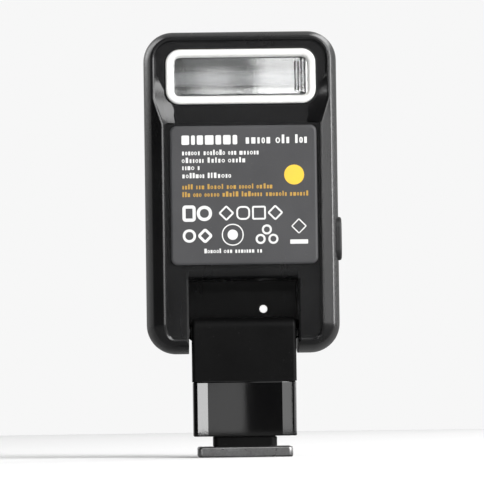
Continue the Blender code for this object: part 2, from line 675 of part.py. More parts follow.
def build_hinge_pins(head):
    """The left pin is hollow for the cable, and the right one turns in the friction clip."""
    centre = (0, HINGE_HIGH)
    left = [
        (PIN_BORE, -PIN_OUTER), (1.9, -PIN_OUTER), (1.9, -13.4), (PIN_RADIUS, -13.4),
        (PIN_RADIUS, -PIN_INNER), (PIN_BORE, -PIN_INNER),
    ]
    head.node("hinge_pin_left", "steel", turned(left, "X", centre, SMALL_ROUND), (-10, *centre))
    right = [
        (0, PIN_INNER), (PIN_RADIUS, PIN_INNER), (PIN_RADIUS, 13.4), (1.9, 13.4), (1.9, PIN_OUTER), (0, PIN_OUTER),
    ]
    head.node("hinge_pin_right", "steel", turned(right, "X", centre, SMALL_ROUND), (10, *centre))


# ---- the moving controls ----

def build_dial(dial):
    rim = DIAL_RADIUS
    profile = [
        (0, 11.2), (1.65, 11.2), (1.65, 8.2), (2.9, 8.2), (2.9, 9.9), (rim - 0.3, 9.9), (rim, 10.2),
        (rim, 12.7), (rim - 0.4, 13.1), (7.8, 13.1), (7.8, 12.4), (0, 12.4),
    ]
    top = DIAL_HIGH + rim
    dial.node(
        "power_dial", "dial_metal", turned(profile, "Y", (0, DIAL_HIGH), 36), (0, 9.9, DIAL_HIGH),
        cuts=[box((-0.45, 12.2, top - 2.2), (0.45, 14, top + 1))],
    )
    dial.node("dial_cap", "dial_metal", rod("Y", (0, DIAL_HIGH), 7.5, 12.5, 13.2, 30), (0, 12.5, DIAL_HIGH))
    dial.node("encoder_shaft", "steel", rod("Y", (0, DIAL_HIGH), 1.5, 5.0, 11.0), (0, 5, DIAL_HIGH))


def build_back_button(builder, name, x):
    cap = BUTTON_RADIUS
    profile = [(0, 7.6), (3.7, 7.6), (3.7, 8.5), (cap, 8.5), (cap, 11.0), (cap - 0.4, 11.3), (0, 11.3)]
    builder.node(name, "soft_black", turned(profile, "Y", (x, BUTTON_HIGH), ROUND), (x, 7.6, BUTTON_HIGH))


def build_side_button(builder):
    flange = [half + 0.4 for half in SIDE_BUTTON_HALF]
    builder.node(
        "side_button", "soft_black",
        prism(rounded_outline(SIDE_BUTTON_HALF, 2.25, SIDE_BUTTON_AT, 5), "X", 16.8, 19.6),
        (17.2, *SIDE_BUTTON_AT),
        joins=[prism(rounded_outline(flange, 2.6, SIDE_BUTTON_AT), "X", 16.3, 17.2)],
    )


def main():
    clear_scene()
    materials = make_materials()
    foot_stand = make_empty("foot_stand", (0.0, 0.0, 0.0))
    head_pivot = make_empty("head_pivot", (0.0, 0.0, HINGE_HIGH), foot_stand)
    dial_axis = make_empty("dial_axis", (0.0, 10.0, DIAL_HIGH), head_pivot)
    foot, head, dial = (Builder(stand, materials) for stand in (foot_stand, head_pivot, dial_axis))
    contact_stands = [
        Builder(make_empty(f"contact_stand_{k}", (*at, 0.1), foot_stand), materials)
        for k, at in enumerate((HOT_CONTACT, *SIGNAL_CONTACTS))
    ]
    build_foot(foot)
    build_contacts(foot, contact_stands)
    build_arm(foot)
    build_front_cover(head)
    build_back_cover(head)
    build_window(head)
    build_lamp(head)
    build_electronics(head)
    build_trim(head)
    build_hinge_pins(head)
    build_dial(dial)
    for name, x in (("mode_button", -BUTTON_SIDE), ("test_button", BUTTON_SIDE)):
        stand = make_empty(f"{name}_stand", (x, 7.6, BUTTON_HIGH), head_pivot)
        build_back_button(Builder(stand, materials), name, x)
    build_side_button(Builder(make_empty("side_button_stand", (17.2, *SIDE_BUTTON_AT), head_pivot), materials))
    wire(foot, "arm_cable", [(1.0, 1.5, 8.2), (1.0, 1.5, 11), (0, 0.8, 18), (-1.2, 0, 23.2), (-3.4, 0, HINGE_HIGH),
                             (-6, 0, HINGE_HIGH), (-9.9, 0, HINGE_HIGH)], 0.4)
    wire(head, "head_cable", [(-10.3, 0, HINGE_HIGH), (-13, 0, HINGE_HIGH), (-15.1, 0, 25.0), (-16.6, 0.2, 27.6),
                              (-16.8, 0.6, 31.0), (-16.5, 1.0, 33.9), (-15.4, 1.4, 36.6), (-14.4, 1.6, 40)], 0.4)


main()
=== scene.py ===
import bpy, bmesh, random
from math import cos, sin, pi, radians, tau, atan2, hypot
from mathutils import Matrix, Vector


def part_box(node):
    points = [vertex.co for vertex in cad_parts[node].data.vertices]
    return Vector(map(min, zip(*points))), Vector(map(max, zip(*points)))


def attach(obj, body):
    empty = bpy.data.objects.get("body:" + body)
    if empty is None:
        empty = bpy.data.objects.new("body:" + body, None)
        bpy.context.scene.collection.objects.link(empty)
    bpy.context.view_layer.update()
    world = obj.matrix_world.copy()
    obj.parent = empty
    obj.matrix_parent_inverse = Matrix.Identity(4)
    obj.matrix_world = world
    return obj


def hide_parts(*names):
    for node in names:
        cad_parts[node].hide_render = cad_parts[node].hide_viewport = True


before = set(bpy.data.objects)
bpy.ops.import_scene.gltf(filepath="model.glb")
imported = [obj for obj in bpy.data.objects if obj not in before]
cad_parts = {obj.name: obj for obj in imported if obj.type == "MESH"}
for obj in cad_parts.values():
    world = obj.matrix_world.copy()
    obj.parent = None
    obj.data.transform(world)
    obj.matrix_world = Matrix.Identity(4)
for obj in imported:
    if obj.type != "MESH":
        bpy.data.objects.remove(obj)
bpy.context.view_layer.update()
mm = 0.001  # shapes are drawn in millimetres and made metres when they are finished

# ways that a shape drawn flat, x right, y up and z out, is turned to face
facing = {
    "down": Matrix(((1, 0, 0), (0, -1, 0), (0, 0, -1))),
    "front": Matrix(((1, 0, 0), (0, 0, -1), (0, 1, 0))),
    "back": Matrix(((-1, 0, 0), (0, 0, 1), (0, 1, 0))),
    "right": Matrix(((0, 0, 1), (1, 0, 0), (0, 1, 0))),
    "left": Matrix(((0, 0, -1), (-1, 0, 0), (0, 1, 0))),
}


def nodeBox(name):  # a CAD node's corners in millimetres
    low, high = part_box(name)
    return low / mm, high / mm


def nodeMiddle(name):
    low, high = nodeBox(name)
    return (low + high) / 2


# every finish reads Object coordinates, so it stays on its piece

def setInputs(tree, node, inputs):  # an input takes a value or another node's output
    for key, value in inputs.items():
        if isinstance(value, bpy.types.NodeSocket):
            tree.links.new(value, node.inputs[key])
        else:
            node.inputs[key].default_value = value


def addNode(tree, kind, inputs, output=0, **settings):
    node = tree.nodes.new("ShaderNode" + kind)
    for key, value in settings.items():
        setattr(node, key, value)
    setInputs(tree, node, inputs)
    return node.outputs[output]


def newMaterial(name):
    material = bpy.data.materials.new(name)
    material.use_nodes = True
    tree = material.node_tree
    return material, tree, tree.nodes["Principled BSDF"], addNode(tree, "TexCoord", {}, "Object")


def noise(tree, place, scale, detail=3.0, roughness=0.55, stretch=None):
    if stretch:
        place = addNode(tree, "Mapping", {"Vector": place, "Scale": stretch})
    return addNode(tree, "TexNoise", {"Vector": place, "Scale": scale, "Detail": detail,
                                      "Roughness": roughness})


def remap(tree, value, fromLow, fromHigh, toLow, toHigh):
    return addNode(tree, "MapRange", {"Value": value, "From Min": fromLow, "From Max": fromHigh,
                                      "To Min": toLow, "To Max": toHigh})


def mixColour(tree, factor, first, second):  # input 0 is the factor, 6 and 7 are the two colours
    first, second = (value if isinstance(value, bpy.types.NodeSocket) else (*value, 1.0)
                     for value in (first, second))
    return addNode(tree, "Mix", {0: factor, 6: first, 7: second}, 2, data_type="RGBA")


def pick(tree, factor, first, second):  # the same for plain numbers, in inputs 2 and 3
    return addNode(tree, "Mix", {0: factor, 2: first, 3: second}, 0, data_type="FLOAT")


def bump(tree, shader, height, distance, strength=1.0, under=None):
    inputs = {"Height": height, "Distance": distance, "Strength": strength}
    if under:
        inputs["Normal"] = under
    normal = addNode(tree, "Bump", inputs)
    tree.links.new(normal, shader.inputs["Normal"])
    return normal


def edgeMask(tree, radius, amount):  # grows from 0 on the flat to amount at an edge
    rounded = addNode(tree, "Bevel", {"Radius": radius}, samples=4)
    flat = addNode(tree, "NewGeometry", {}, "Normal")
    match = addNode(tree, "VectorMath", {0: rounded, 1: flat}, "Value", operation="DOT_PRODUCT")
    return remap(tree, match, 0.985, 0.80, 0.0, amount)


def patchy(tree, mask, low, high, look):  # the finish's two colours, mixed where the mask rises
    return mixColour(tree, remap(tree, mask, low, high, 0, 1), look["colour"], look["patch"])


def roughened(tree, mask, low, high, look):
    return remap(tree, mask, low, high, look["smooth"], look["rough"])


def mouldedPlastic(name, look):
    # injection moulding: spark grain, faint flow patches, handling marks, and paler edges that are partly
    # wear and partly a painted highlight
    material, tree, shader, place = newMaterial(name)
    patches = noise(tree, place, look["patchScale"], 4.0)
    specks = addNode(tree, "TexVoronoi", {"Vector": place, "Scale": look["speckScale"]})
    dust = remap(tree, specks, 0.03, 0.075, look["dust"], 0.0)
    colour = mixColour(tree, dust, patchy(tree, patches, 0.35, 0.68, look), look["dustColour"])
    # paler edges: partly real wear, partly a painted highlight along the crests
    edges = edgeMask(tree, look["wearAndHighlightWidth"], look["wear"])
    worn = addNode(tree, "Math", {0: edges, 1: patches}, operation="MULTIPLY")
    smears = noise(tree, place, look["patchScale"] * 2.4, 5.0, 0.65, (1.0, 1.0, 0.35))
    setInputs(tree, shader, {"Base Color": mixColour(tree, worn, colour, look["wornColour"]),
                             "Roughness": roughened(tree, smears, 0.3, 0.72, look),
                             "IOR": 1.5, "Specular IOR Level": look["specular"]})
    grain = addNode(tree, "TexVoronoi", {"Vector": place, "Scale": look["grainScale"]}, feature="SMOOTH_F1")
    low = bump(tree, shader, patches, look["waviness"], 0.5)
    bump(tree, shader, grain, look["grainDepth"], look["grainStrength"], low)
    return material


def brushedMetal(name, look):
    # fine lines one way, with tarnish patches and scuffs
    material, tree, shader, place = newMaterial(name)
    lines = noise(tree, place, look["lineScale"], 6.0, 0.7, look["stretch"])
    colour = patchy(tree, noise(tree, place, look["patchScale"], 5.0, 0.6), 0.4, 0.7, look)
    scuffs = remap(tree, lines, 0.45, 0.75, 0, look["lineContrast"])
    setInputs(tree, shader, {"Base Color": mixColour(tree, scuffs, colour, look["scuffColour"]),
                             "Roughness": roughened(tree, lines, 0.3, 0.7, look), "Metallic": 1.0})
    bump(tree, shader, lines, look["lineDepth"], 0.6)
    return material


def turnedMetal(name, look):
    # lathe rings round a point, in the plane that faces back
    material, tree, shader, place = newMaterial(name)
    centred = addNode(tree, "Mapping", {"Vector": place, "Location": -look["centre"] * mm})
    rings = addNode(tree, "TexWave", {"Vector": centred, "Scale": look["ringScale"], "Distortion": 0.6,
                                      "Detail": 2.0, "Detail Scale": 3.0},
                    "Fac", wave_type="RINGS", rings_direction="Y")
    colour = patchy(tree, noise(tree, place, look["patchScale"], 5.0), 0.4, 0.7, look)
    # paler rim edges: partly wear, partly a painted highlight
    worn = edgeMask(tree, look["wearAndHighlightWidth"], look["wear"])
    setInputs(tree, shader, {"Base Color": mixColour(tree, worn, colour, look["wornColour"]),
                             "Roughness": roughened(tree, rings, 0.0, 1.0, look),
                             "Metallic": look["metallic"], "Specular IOR Level": 0.5})
    bump(tree, shader, rings, look["ringDepth"], 0.5)
    return material


def clearPlastic(name, look):
    # clear moulding with hair scratches and a faint haze
    material, tree, shader, place = newMaterial(name)
    scratches = noise(tree, place, look["scratchScale"], 6.0, 0.7, (1.0, 1.0, 0.12))
    setInputs(tree, shader, {"Base Color": (*look["colour"], 1.0), "Transmission Weight": look["clear"],
                             "Roughness": roughened(tree, scratches, 0.5, 0.75, look), "IOR": look["ior"],
                             "Alpha": 1.0})
    bump(tree, shader, scratches, look["scratchDepth"], 0.35)
    return material


def milkyPlastic(name, look):
    # pale translucent moulding: soft inside, lightly frosted outside
    material, tree, shader, place = newMaterial(name)
    clouds = noise(tree, place, look["patchScale"], 4.0)
    setInputs(tree, shader, {"Base Color": patchy(tree, clouds, 0.35, 0.7, look),
                             "Roughness": roughened(tree, clouds, 0.3, 0.7, look), "IOR": 1.49,
                             "Subsurface Weight": look["milky"], "Subsurface Radius": (1.0, 0.95, 0.9),
                             "Subsurface Scale": 0.0008, "Coat Weight": look["coat"], "Coat Roughness": 0.12,
                             "Emission Color": (1.0, 0.99, 0.97, 1.0), "Emission Strength": look["lit"]})
    bump(tree, shader, noise(tree, place, look["frostScale"], 2.0), look["frostDepth"], 0.3)
    return material


def rolledMirror(name, look):
    # bright reflector sheet with rolling marks along its length
    material, tree, shader, place = newMaterial(name)
    rolling = noise(tree, place, look["rollScale"], 4.0, 0.6, (0.06, 1.0, 1.0))
    setInputs(tree, shader, {"Base Color": patchy(tree, rolling, 0.4, 0.7, look),
                             "Roughness": roughened(tree, rolling, 0.3, 0.7, look), "Metallic": 1.0})
    bump(tree, shader, rolling, look["rollDepth"], 0.35)
    return material


def circuitBoard(name, look):
    # green resist over copper tracks, with tinned pads
    material, tree, shader, place = newMaterial(name)
    turn = addNode(tree, "Mapping", {"Vector": place, "Rotation": look["turn"]})
    tracks = addNode(tree, "TexBrick", {"Vector": turn, "Scale": look["trackScale"], "Mortar Size": 0.03,
                                        "Mortar Smooth": 0.1, "Brick Width": 1.3, "Row Height": 0.42},
                     "Fac", offset=0.37, squash=1.6, squash_frequency=3)
    pads = addNode(tree, "TexVoronoi", {"Vector": turn, "Scale": look["padScale"], "Randomness": 0.35},
                   distance="CHEBYCHEV")
    padMask = remap(tree, pads, 0.16, 0.2, 1.0, 0.0)
    colour = mixColour(tree, tracks, look["resist"], look["track"])
    setInputs(tree, shader, {"Base Color": mixColour(tree, padMask, colour, look["tin"]), "Metallic": padMask,
                             "Roughness": roughened(tree, noise(tree, place, 700.0), 0.3, 0.7, look)})
    bump(tree, shader, tracks, look["trackDepth"], 0.6)
    return material


def tapedWinding(name, look):
    # amber tape over wire, so the turns show through as ribs
    material, tree, shader, place = newMaterial(name)
    turns = addNode(tree, "TexWave", {"Vector": place, "Scale": look["turnScale"], "Distortion": 0.3}, "Fac",
                    bands_direction="X")
    creases = noise(tree, place, look["creaseScale"], 5.0)
    colour = mixColour(tree, turns, look["between"], look["tape"])
    creased = mixColour(tree, remap(tree, creases, 0.5, 0.7, 0, 0.5), colour, look["crease"])
    setInputs(tree, shader, {"Base Color": creased, "Roughness": roughened(tree, creases, 0.3, 0.7, look)})
    bump(tree, shader, turns, look["turnDepth"], 0.7)
    return material


def foilPouch(name, look):
    # crinkled laminate foil
    material, tree, shader, place = newMaterial(name)
    crinkle = noise(tree, place, look["crinkleScale"], 6.0, 0.7)
    setInputs(tree, shader, {"Base Color": mixColour(tree, crinkle, look["colour"], look["patch"]),
                             "Roughness": roughened(tree, crinkle, 0.3, 0.7, look),
                             "Metallic": look["metallic"]})
    bump(tree, shader, crinkle, look["crinkleDepth"], 0.8)
    return material


def grey(level, blue=0.0):
    return (level, level, level + blue)


def kinds(make, base):  # a finish's maker with its usual values, and what to change in them
    return lambda **changes: (make, {**base, **changes})


plastic = kinds(mouldedPlastic, {
    "colour": grey(0.0045, 0.0003), "patch": grey(0.0075, 0.0003), "patchScale": 75.0, "specular": 0.5,
    "dust": 0.08, "dustColour": (0.45, 0.44, 0.42), "speckScale": 900.0,
    # the pale edge colour is partly wear and partly a painted highlight
    "wear": 0.5, "wornColour": grey(0.065, 0.003), "wearAndHighlightWidth": 0.00018, "smooth": 0.21, "rough": 0.30,
    "grainScale": 5200.0, "grainDepth": 0.000028, "grainStrength": 0.35, "waviness": 0.00003})
ink = kinds(mouldedPlastic, plastic(dust=0.0, wear=0.0, smooth=0.5)[1])
metal = kinds(brushedMetal, {
    "colour": (0.42, 0.42, 0.425), "patch": (0.30, 0.295, 0.29), "patchScale": 170.0, "lineScale": 900.0,
    "stretch": (1.0, 0.06, 1.0), "lineContrast": 0.5, "lineDepth": 0.000012,
    "scuffColour": grey(0.08), "smooth": 0.24, "rough": 0.46})
clear = kinds(clearPlastic, {
    "colour": (0.97, 0.98, 0.98), "clear": 1.0, "ior": 1.45, "smooth": 0.02, "rough": 0.07,
    "scratchScale": 900.0, "scratchDepth": 0.000004})
milky = kinds(milkyPlastic, {
    "colour": grey(0.80, -0.01), "patch": grey(0.74, -0.01), "patchScale": 420.0, "milky": 0.5, "coat": 0.4,
    "lit": 0.0, "smooth": 0.24, "rough": 0.36, "frostScale": 5200.0, "frostDepth": 0.000006})
finishes = {
    "caseBlack": plastic(),
    "armBlack": plastic(colour=grey(0.002, 0.0001), patch=grey(0.003, 0.0001), specular=0.12, smooth=0.4,
                        rough=0.52, grainStrength=0.5),
    "pianoBlack": plastic(colour=grey(0.0025, 0.0003), patch=grey(0.004), smooth=0.012, rough=0.035,
                          dust=0.05, wear=0.2, grainStrength=0.006, waviness=0.0000015),
    "buttonBlack": plastic(colour=grey(0.014, 0.0005), patch=grey(0.02, 0.0005), smooth=0.5, rough=0.66,
                           grainScale=7000.0),
    "insertBlack": plastic(colour=grey(0.016, 0.0005), wear=0.2),
    # the label plate's strong pale edge is a painted highlight on its bevel, with some wear
    "labelGrey": plastic(colour=grey(0.043, 0.0025), patch=grey(0.055, 0.0025), dust=0.12, wear=0.9,
                         wornColour=grey(0.2, 0.005), smooth=0.42, rough=0.55, grainScale=3600.0),
    "printWhite": ink(colour=grey(0.72, -0.01), patch=grey(0.58, -0.01), rough=0.65),
    "printYellow": ink(colour=(0.78, 0.50, 0.04), patch=(0.66, 0.42, 0.05)),
    "printOchre": ink(colour=(0.46, 0.27, 0.05), patch=(0.36, 0.22, 0.05)),
    "siliconeGrey": plastic(colour=grey(0.52, -0.02), patch=grey(0.6, -0.02), wear=0.0, smooth=0.45,
                            rough=0.62),
    "sleeveBlue": plastic(colour=(0.012, 0.02, 0.07), patch=(0.016, 0.03, 0.09), wear=0.1, smooth=0.22,
                          rough=0.36),
    "footSteel": metal(),
    "screwSteel": metal(colour=grey(0.30, 0.005), patch=grey(0.20), patchScale=500.0, lineScale=2600.0,
                        stretch=(1.0, 1.0, 1.0), lineContrast=0.3, lineDepth=0.000006, smooth=0.22,
                        rough=0.4),
    "contactGold": metal(colour=(0.86, 0.62, 0.27), patch=(0.66, 0.43, 0.18), patchScale=800.0,
                         lineScale=3000.0, stretch=(1.0, 1.0, 1.0), lineContrast=0.2, lineDepth=0.000005,
                         smooth=0.14, rough=0.3),
    "dialBlack": (turnedMetal, {"centre": nodeMiddle("power_dial"), "colour": grey(0.022, 0.002),
                                "patch": grey(0.03, 0.002), "patchScale": 260.0, "metallic": 0.6,
                                "wear": 0.35, "wornColour": grey(0.35, 0.01), "wearAndHighlightWidth": 0.00015,
                                "ringScale": 900.0, "ringDepth": 0.00002, "smooth": 0.26, "rough": 0.44}),
    "clearPanel": clear(),
    "clearTube": clear(colour=(0.96, 0.97, 0.98), clear=0.75, ior=1.46, smooth=0.03, rough=0.08),
    "frameSilver": milky(colour=grey(0.71, -0.015), patch=grey(0.65, -0.015), milky=0.35, coat=0.0,
                         smooth=0.3, rough=0.42),
    "lampWhite": milky(),
    "lampLit": milky(colour=grey(0.9, -0.01), patch=grey(0.84, -0.01), lit=0.9),
    "brightMirror": (rolledMirror, {"colour": grey(0.66, -0.005), "patch": grey(0.56, -0.005),
                                    "rollScale": 1500.0, "rollDepth": 0.000006, "smooth": 0.05,
                                    "rough": 0.14}),
    "boardFlat": (circuitBoard, {"resist": (0.010, 0.075, 0.03), "track": (0.03, 0.15, 0.055),
                                 "tin": grey(0.7, -0.02), "turn": (radians(90), 0, 0), "trackScale": 260.0,
                                 "trackDepth": 0.00003, "padScale": 330.0, "smooth": 0.28, "rough": 0.46}),
    "amberTape": (tapedWinding, {"tape": (0.62, 0.36, 0.06), "between": (0.38, 0.18, 0.03),
                                 "crease": (0.75, 0.52, 0.2), "creaseScale": 500.0, "turnScale": 420.0,
                                 "turnDepth": 0.00008, "smooth": 0.25, "rough": 0.5}),
    "cellFoil": (foilPouch, {"colour": (0.52, 0.53, 0.55), "patch": (0.62, 0.63, 0.65), "metallic": 0.85,
                             "crinkleScale": 240.0, "crinkleDepth": 0.00012, "smooth": 0.25, "rough": 0.5}),
}
paint = {name: make(name, look) for name, (make, look) in finishes.items()}
print("materials made:", len(paint))


# tools that shape a piece; a shape is a bmesh in millimetres until makePiece

def tempObject(bm):
    bmesh.ops.remove_doubles(bm, verts=bm.verts, dist=0.0005)
    bmesh.ops.recalc_face_normals(bm, faces=bm.faces)
    mesh = bpy.data.meshes.new("temp")
    bm.to_mesh(mesh)
    bm.free()
    made = bpy.data.objects.new("temp", mesh)
    bpy.context.scene.collection.objects.link(made)
    return made


def carve(shape, cuts, adds=()):  # joins the adds on, then takes the cuts away
    made = [tempObject(shape)]
    for operation, tools in (("UNION", adds), ("DIFFERENCE", cuts)):
        for tool in tools:
            made.append(tempObject(tool))
            modifier = made[0].modifiers.new(operation, "BOOLEAN")
            modifier.operation = operation
            modifier.solver = "EXACT"
            modifier.object = made[-1]
    result = bmesh.new()
    graph = bpy.context.evaluated_depsgraph_get()
    result.from_mesh(made[0].evaluated_get(graph).to_mesh())
    for helper in made:
        bpy.data.meshes.remove(helper.data)
    return result


def joined(shapes):
    whole = bmesh.new()
    carrier = bpy.data.meshes.new("carrier")
    for shape in shapes:
        bmesh.ops.recalc_face_normals(shape, faces=shape.faces)
        shape.to_mesh(carrier)
        shape.free()
        whole.from_mesh(carrier)
    bpy.data.meshes.remove(carrier)
    return whole


def turned(bm, way, at=(0, 0, 0)):
    bmesh.ops.rotate(bm, cent=(0, 0, 0), matrix=facing[way], verts=bm.verts)
    bmesh.ops.translate(bm, vec=Vector(at), verts=bm.verts)
    return bm


def onBack(bm, at):  # drawn round the z axis, set on the back at a point's x and z
    return turned(bm, "back", (at.x, 0, at.z))


def makePiece(bm, name, material, body, replaces=(), sharp=30, carved=False):
    bmesh.ops.remove_doubles(bm, verts=bm.verts, dist=0.0008)
    if not carved:
        bmesh.ops.recalc_face_normals(bm, faces=bm.faces)
    bmesh.ops.scale(bm, vec=(mm, mm, mm), verts=bm.verts)
    mesh = bpy.data.meshes.new(name)
    bm.to_mesh(mesh)
    bm.free()
    mesh.shade_smooth()
    mesh.set_sharp_from_angle(angle=radians(sharp))
    mesh.materials.append(paint[material])
    piece = bpy.data.objects.new(name, mesh)
    bpy.context.scene.collection.objects.link(piece)
    weighted = piece.modifiers.new("evenShading", "WEIGHTED_NORMAL")
    weighted.keep_sharp = True
    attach(piece, body)
    if replaces:
        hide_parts(*replaces)
    return piece


def roundFace(outline, segments):  # a flat face with round corners
    bm = bmesh.new()
    made = bmesh.ops.create_grid(bm, x_segments=1, y_segments=1, size=1.0)
    bmesh.ops.scale(bm, vec=(*outline["half"], 1), verts=made["verts"])
    bmesh.ops.bevel(bm, geom=made["verts"], offset=outline["corner"], segments=segments, profile=0.5,
                    affect="VERTICES", material=-1)
    bmesh.ops.translate(bm, vec=(*outline["centre"], 0), verts=bm.verts)
    return bm


def outlineRim(outline, segments, levels=()):  # the face's edge loop, cut at some heights
    bm = roundFace(outline, segments)
    for level in levels:
        bmesh.ops.bisect_plane(bm, geom=bm.verts[:] + bm.edges[:] + bm.faces[:], dist=1e-5,
                               plane_co=(0, level, 0), plane_no=(0, 1, 0))
    inner = [e for e in bm.edges if not e.is_boundary]
    bmesh.ops.delete(bm, geom=bm.faces[:], context="FACES_ONLY")
    bmesh.ops.delete(bm, geom=inner, context="EDGES")
    return bm, bm.edges[:]


def wayIn(co, outline):  # the outline's straight core nearest a point, and the way out from it
    (x, y), (halfX, halfY), corner = outline["centre"], outline["half"], outline["corner"]
    core = Vector((x + max(corner - halfX, min(halfX - corner, co.x - x)),
                   y + max(corner - halfY, min(halfY - corner, co.y - y))))
    return core, (Vector((co.x, co.y)) - core).normalized()


def growRim(bm, rim, outline, rows):  # each row says (how far in, how far out) for a height and a slope
    for row in rows:
        made = bmesh.ops.extrude_edge_only(bm, edges=rim)["geom"]
        fresh = {g for g in made if isinstance(g, bmesh.types.BMVert)}
        for vert in fresh:
            core, out = wayIn(vert.co, outline)
            inset, depth = row((core + out * outline["corner"]).y, out.y)
            flat = core + out * (outline["corner"] - inset)
            vert.co = (flat.x, flat.y, depth)
        rim = [g for g in made if isinstance(g, bmesh.types.BMEdge) and set(g.verts) <= fresh]
    return rim


def stepRows(pairs):  # rows that are the same all round
    return [lambda height, slope, pair=pair: pair for pair in pairs]


def quarterTurn(count):
    return [pi / 2 * k / count for k in range(count + 1)]


def filletRows(inset, depth, size, count):  # a round edge, from the side over to the face
    return [(inset + size * (1 - cos(a)), depth - size * (1 - sin(a))) for a in quarterTurn(count)]


def roundEdge(radius, top, size, count):  # the same on a turned piece's profile
    return [(radius - size * (1 - cos(a)), top - size * (1 - sin(a))) for a in quarterTurn(count)]


def moulded(outline, pairs, segments=8, ring=False):
    # a solid with a round-cornered outline, from its (inset, height) pairs: a plate, or a ring with a hole
    bm, start = outlineRim(outline, segments)
    for vert in bm.verts:
        core, out = wayIn(vert.co, outline)
        flat = core + out * (outline["corner"] - pairs[0][0])
        vert.co = (flat.x, flat.y, pairs[0][1])
    rim = growRim(bm, start, outline, stepRows(pairs[1:]))
    if ring:
        bmesh.ops.bridge_loops(bm, edges=start + rim)
    else:
        bmesh.ops.holes_fill(bm, edges=start, sides=0)
        bmesh.ops.holes_fill(bm, edges=rim, sides=0)
    return bm


def spun(profile, steps, centre=(0, 0)):  # (radius, height) points turned about the z axis
    bm = bmesh.new()
    verts = [bm.verts.new((radius, 0, height)) for radius, height in profile]
    edges = [bm.edges.new(pair) for pair in zip(verts, verts[1:])]
    if profile[0][0] > 0 and profile[-1][0] > 0:
        edges.append(bm.edges.new((verts[-1], verts[0])))
    bmesh.ops.spin(bm, geom=verts + edges, cent=(0, 0, 0), axis=(0, 0, 1), angle=tau, steps=steps,
                   use_merge=True)
    bmesh.ops.remove_doubles(bm, verts=bm.verts, dist=0.0005)
    bmesh.ops.translate(bm, vec=(*centre, 0), verts=bm.verts)
    return bm


def rod(radius, low, high, steps=24, centre=(0, 0)):
    return spun([(0, low), (radius, low), (radius, high), (0, high)], steps, centre)


def block(low, high):
    bm = bmesh.new()
    bmesh.ops.create_cube(bm, size=1.0)
    low, high = Vector(low), Vector(high)
    bmesh.ops.scale(bm, vec=high - low, verts=bm.verts)
    bmesh.ops.translate(bm, vec=(low + high) / 2, verts=bm.verts)
    return bm


def profileBar(points, low, high):  # an outline in x and y, pulled along z
    bm = bmesh.new()
    face = bm.faces.new([bm.verts.new((x, y, low)) for x, y in points])
    pulled = bmesh.ops.extrude_face_region(bm, geom=[face])["geom"]
    fresh = [g for g in pulled if isinstance(g, bmesh.types.BMVert)]
    bmesh.ops.translate(bm, vec=(0, 0, high - low), verts=fresh)
    return bm


def arcPoints(centre, radius, start, end, count):
    turns = [radians(start + (end - start) * k / count) for k in range(count + 1)]
    return [(centre[0] + radius * cos(a), centre[1] + radius * sin(a)) for a in turns]


def blend(value, table):  # straight-line reading of a (value, result) table
    if value <= table[0][0]:
        return table[0][1]
    for (low, first), (high, second) in zip(table, table[1:]):
        if value <= high:
            return first + (second - first) * (value - low) / (high - low)
    return table[-1][1]


def boxOutline(name, across, up, corner, grow=0.0):  # a node's outline, seen along one axis
    low, high = nodeBox(name)
    axes = {"x": 0, "y": 1, "z": 2}
    (a, signA), (b, signB) = [(axes[w[-1]], -1 if w[0] == "-" else 1) for w in (across, up)]
    return {"centre": (signA * (low[a] + high[a]) / 2, signB * (low[b] + high[b]) / 2),
            "half": ((high[a] - low[a]) / 2 + grow, (high[b] - low[b]) / 2 + grow), "corner": corner}


cameraSet = {"lens": 300.0, "sensor": 36.0, "near": 0.05, "far": 20.0, "distance": 0.80, "rise": -2.3,
             "turn": -1.2, "roll": -0.8, "aim": (0.0, 0.0, 0.0425)}


def placeCamera():
    camera = bpy.data.objects.new("camera", bpy.data.cameras.new("camera"))
    camera.data.lens = cameraSet["lens"]
    camera.data.sensor_width = cameraSet["sensor"]
    camera.data.clip_start, camera.data.clip_end = cameraSet["near"], cameraSet["far"]
    rise, turn = radians(cameraSet["rise"]), radians(cameraSet["turn"])
    away = Vector((sin(turn) * cos(rise), -cos(turn) * cos(rise), sin(rise)))
    camera.location = Vector(cameraSet["aim"]) + away * cameraSet["distance"]
    roll = Matrix.Rotation(radians(cameraSet["roll"]), 3, "Z").to_quaternion()
    camera.rotation_euler = ((-away).to_track_quat("-Z", "Y") @ roll).to_euler()
    bpy.context.scene.collection.objects.link(camera)
    bpy.context.scene.camera = camera


placeCamera()
print("camera placed")


frontLow, frontHigh = nodeBox("front_cover")
backLow, backHigh = nodeBox("back_cover")
labelLow, labelHigh = nodeBox("label_plate")
windowLow, windowHigh = nodeBox("window_frame")
hinge = nodeMiddle("hinge_pin_left").z
armHigh = nodeBox("arm_front_cover")[1]

beyond = 15  # a cut that goes right through reaches this far
head = {
    "corner": 5.8, "cornerSteps": 14, "wall": 1.6, "parting": 0.12,
    "sideIn": 1.55, "sideDepth": 8.7, "chamferRise": 0.82,
    "rimTop": 1.75, "rimBody": 3.4, "rimFoot": 2.4, "land": 0.36,
    "turnLow": 65.4, "turnHigh": 70.6, "stepHigh": 65.7,
    "windowFloor": 8.05, "labelFloor": 9.25, "seam": 0.08, "pilot": 0.65, "boss": 1.5, "pinBore": 1.2,
    "facetEdge": ((65.7, 6.4), (68.6, 6.0), (71.2, 4.6), (75.3, 2.4)),  # (height, how far in)
    "pocketGap": 0.6, "pocketWall": 1.2, "pocketRise": 10.1, "pocketShort": 0.9, "lip": 2.0, "mouth": 0.35,
    # room round what comes through the covers
    "windowRoom": 0.15, "sideHole": (2.55, 4.55), "statusHole": (5.2, 1.1), "socketHole": (1.85, 4.65),
    "lampBore": 0.8, "buttonBore": 3.3, "stemBore": 3.2, "dialRoom": 0.4, "dialSink": 0.8,
}
headMiddle = (frontLow + frontHigh) / 2
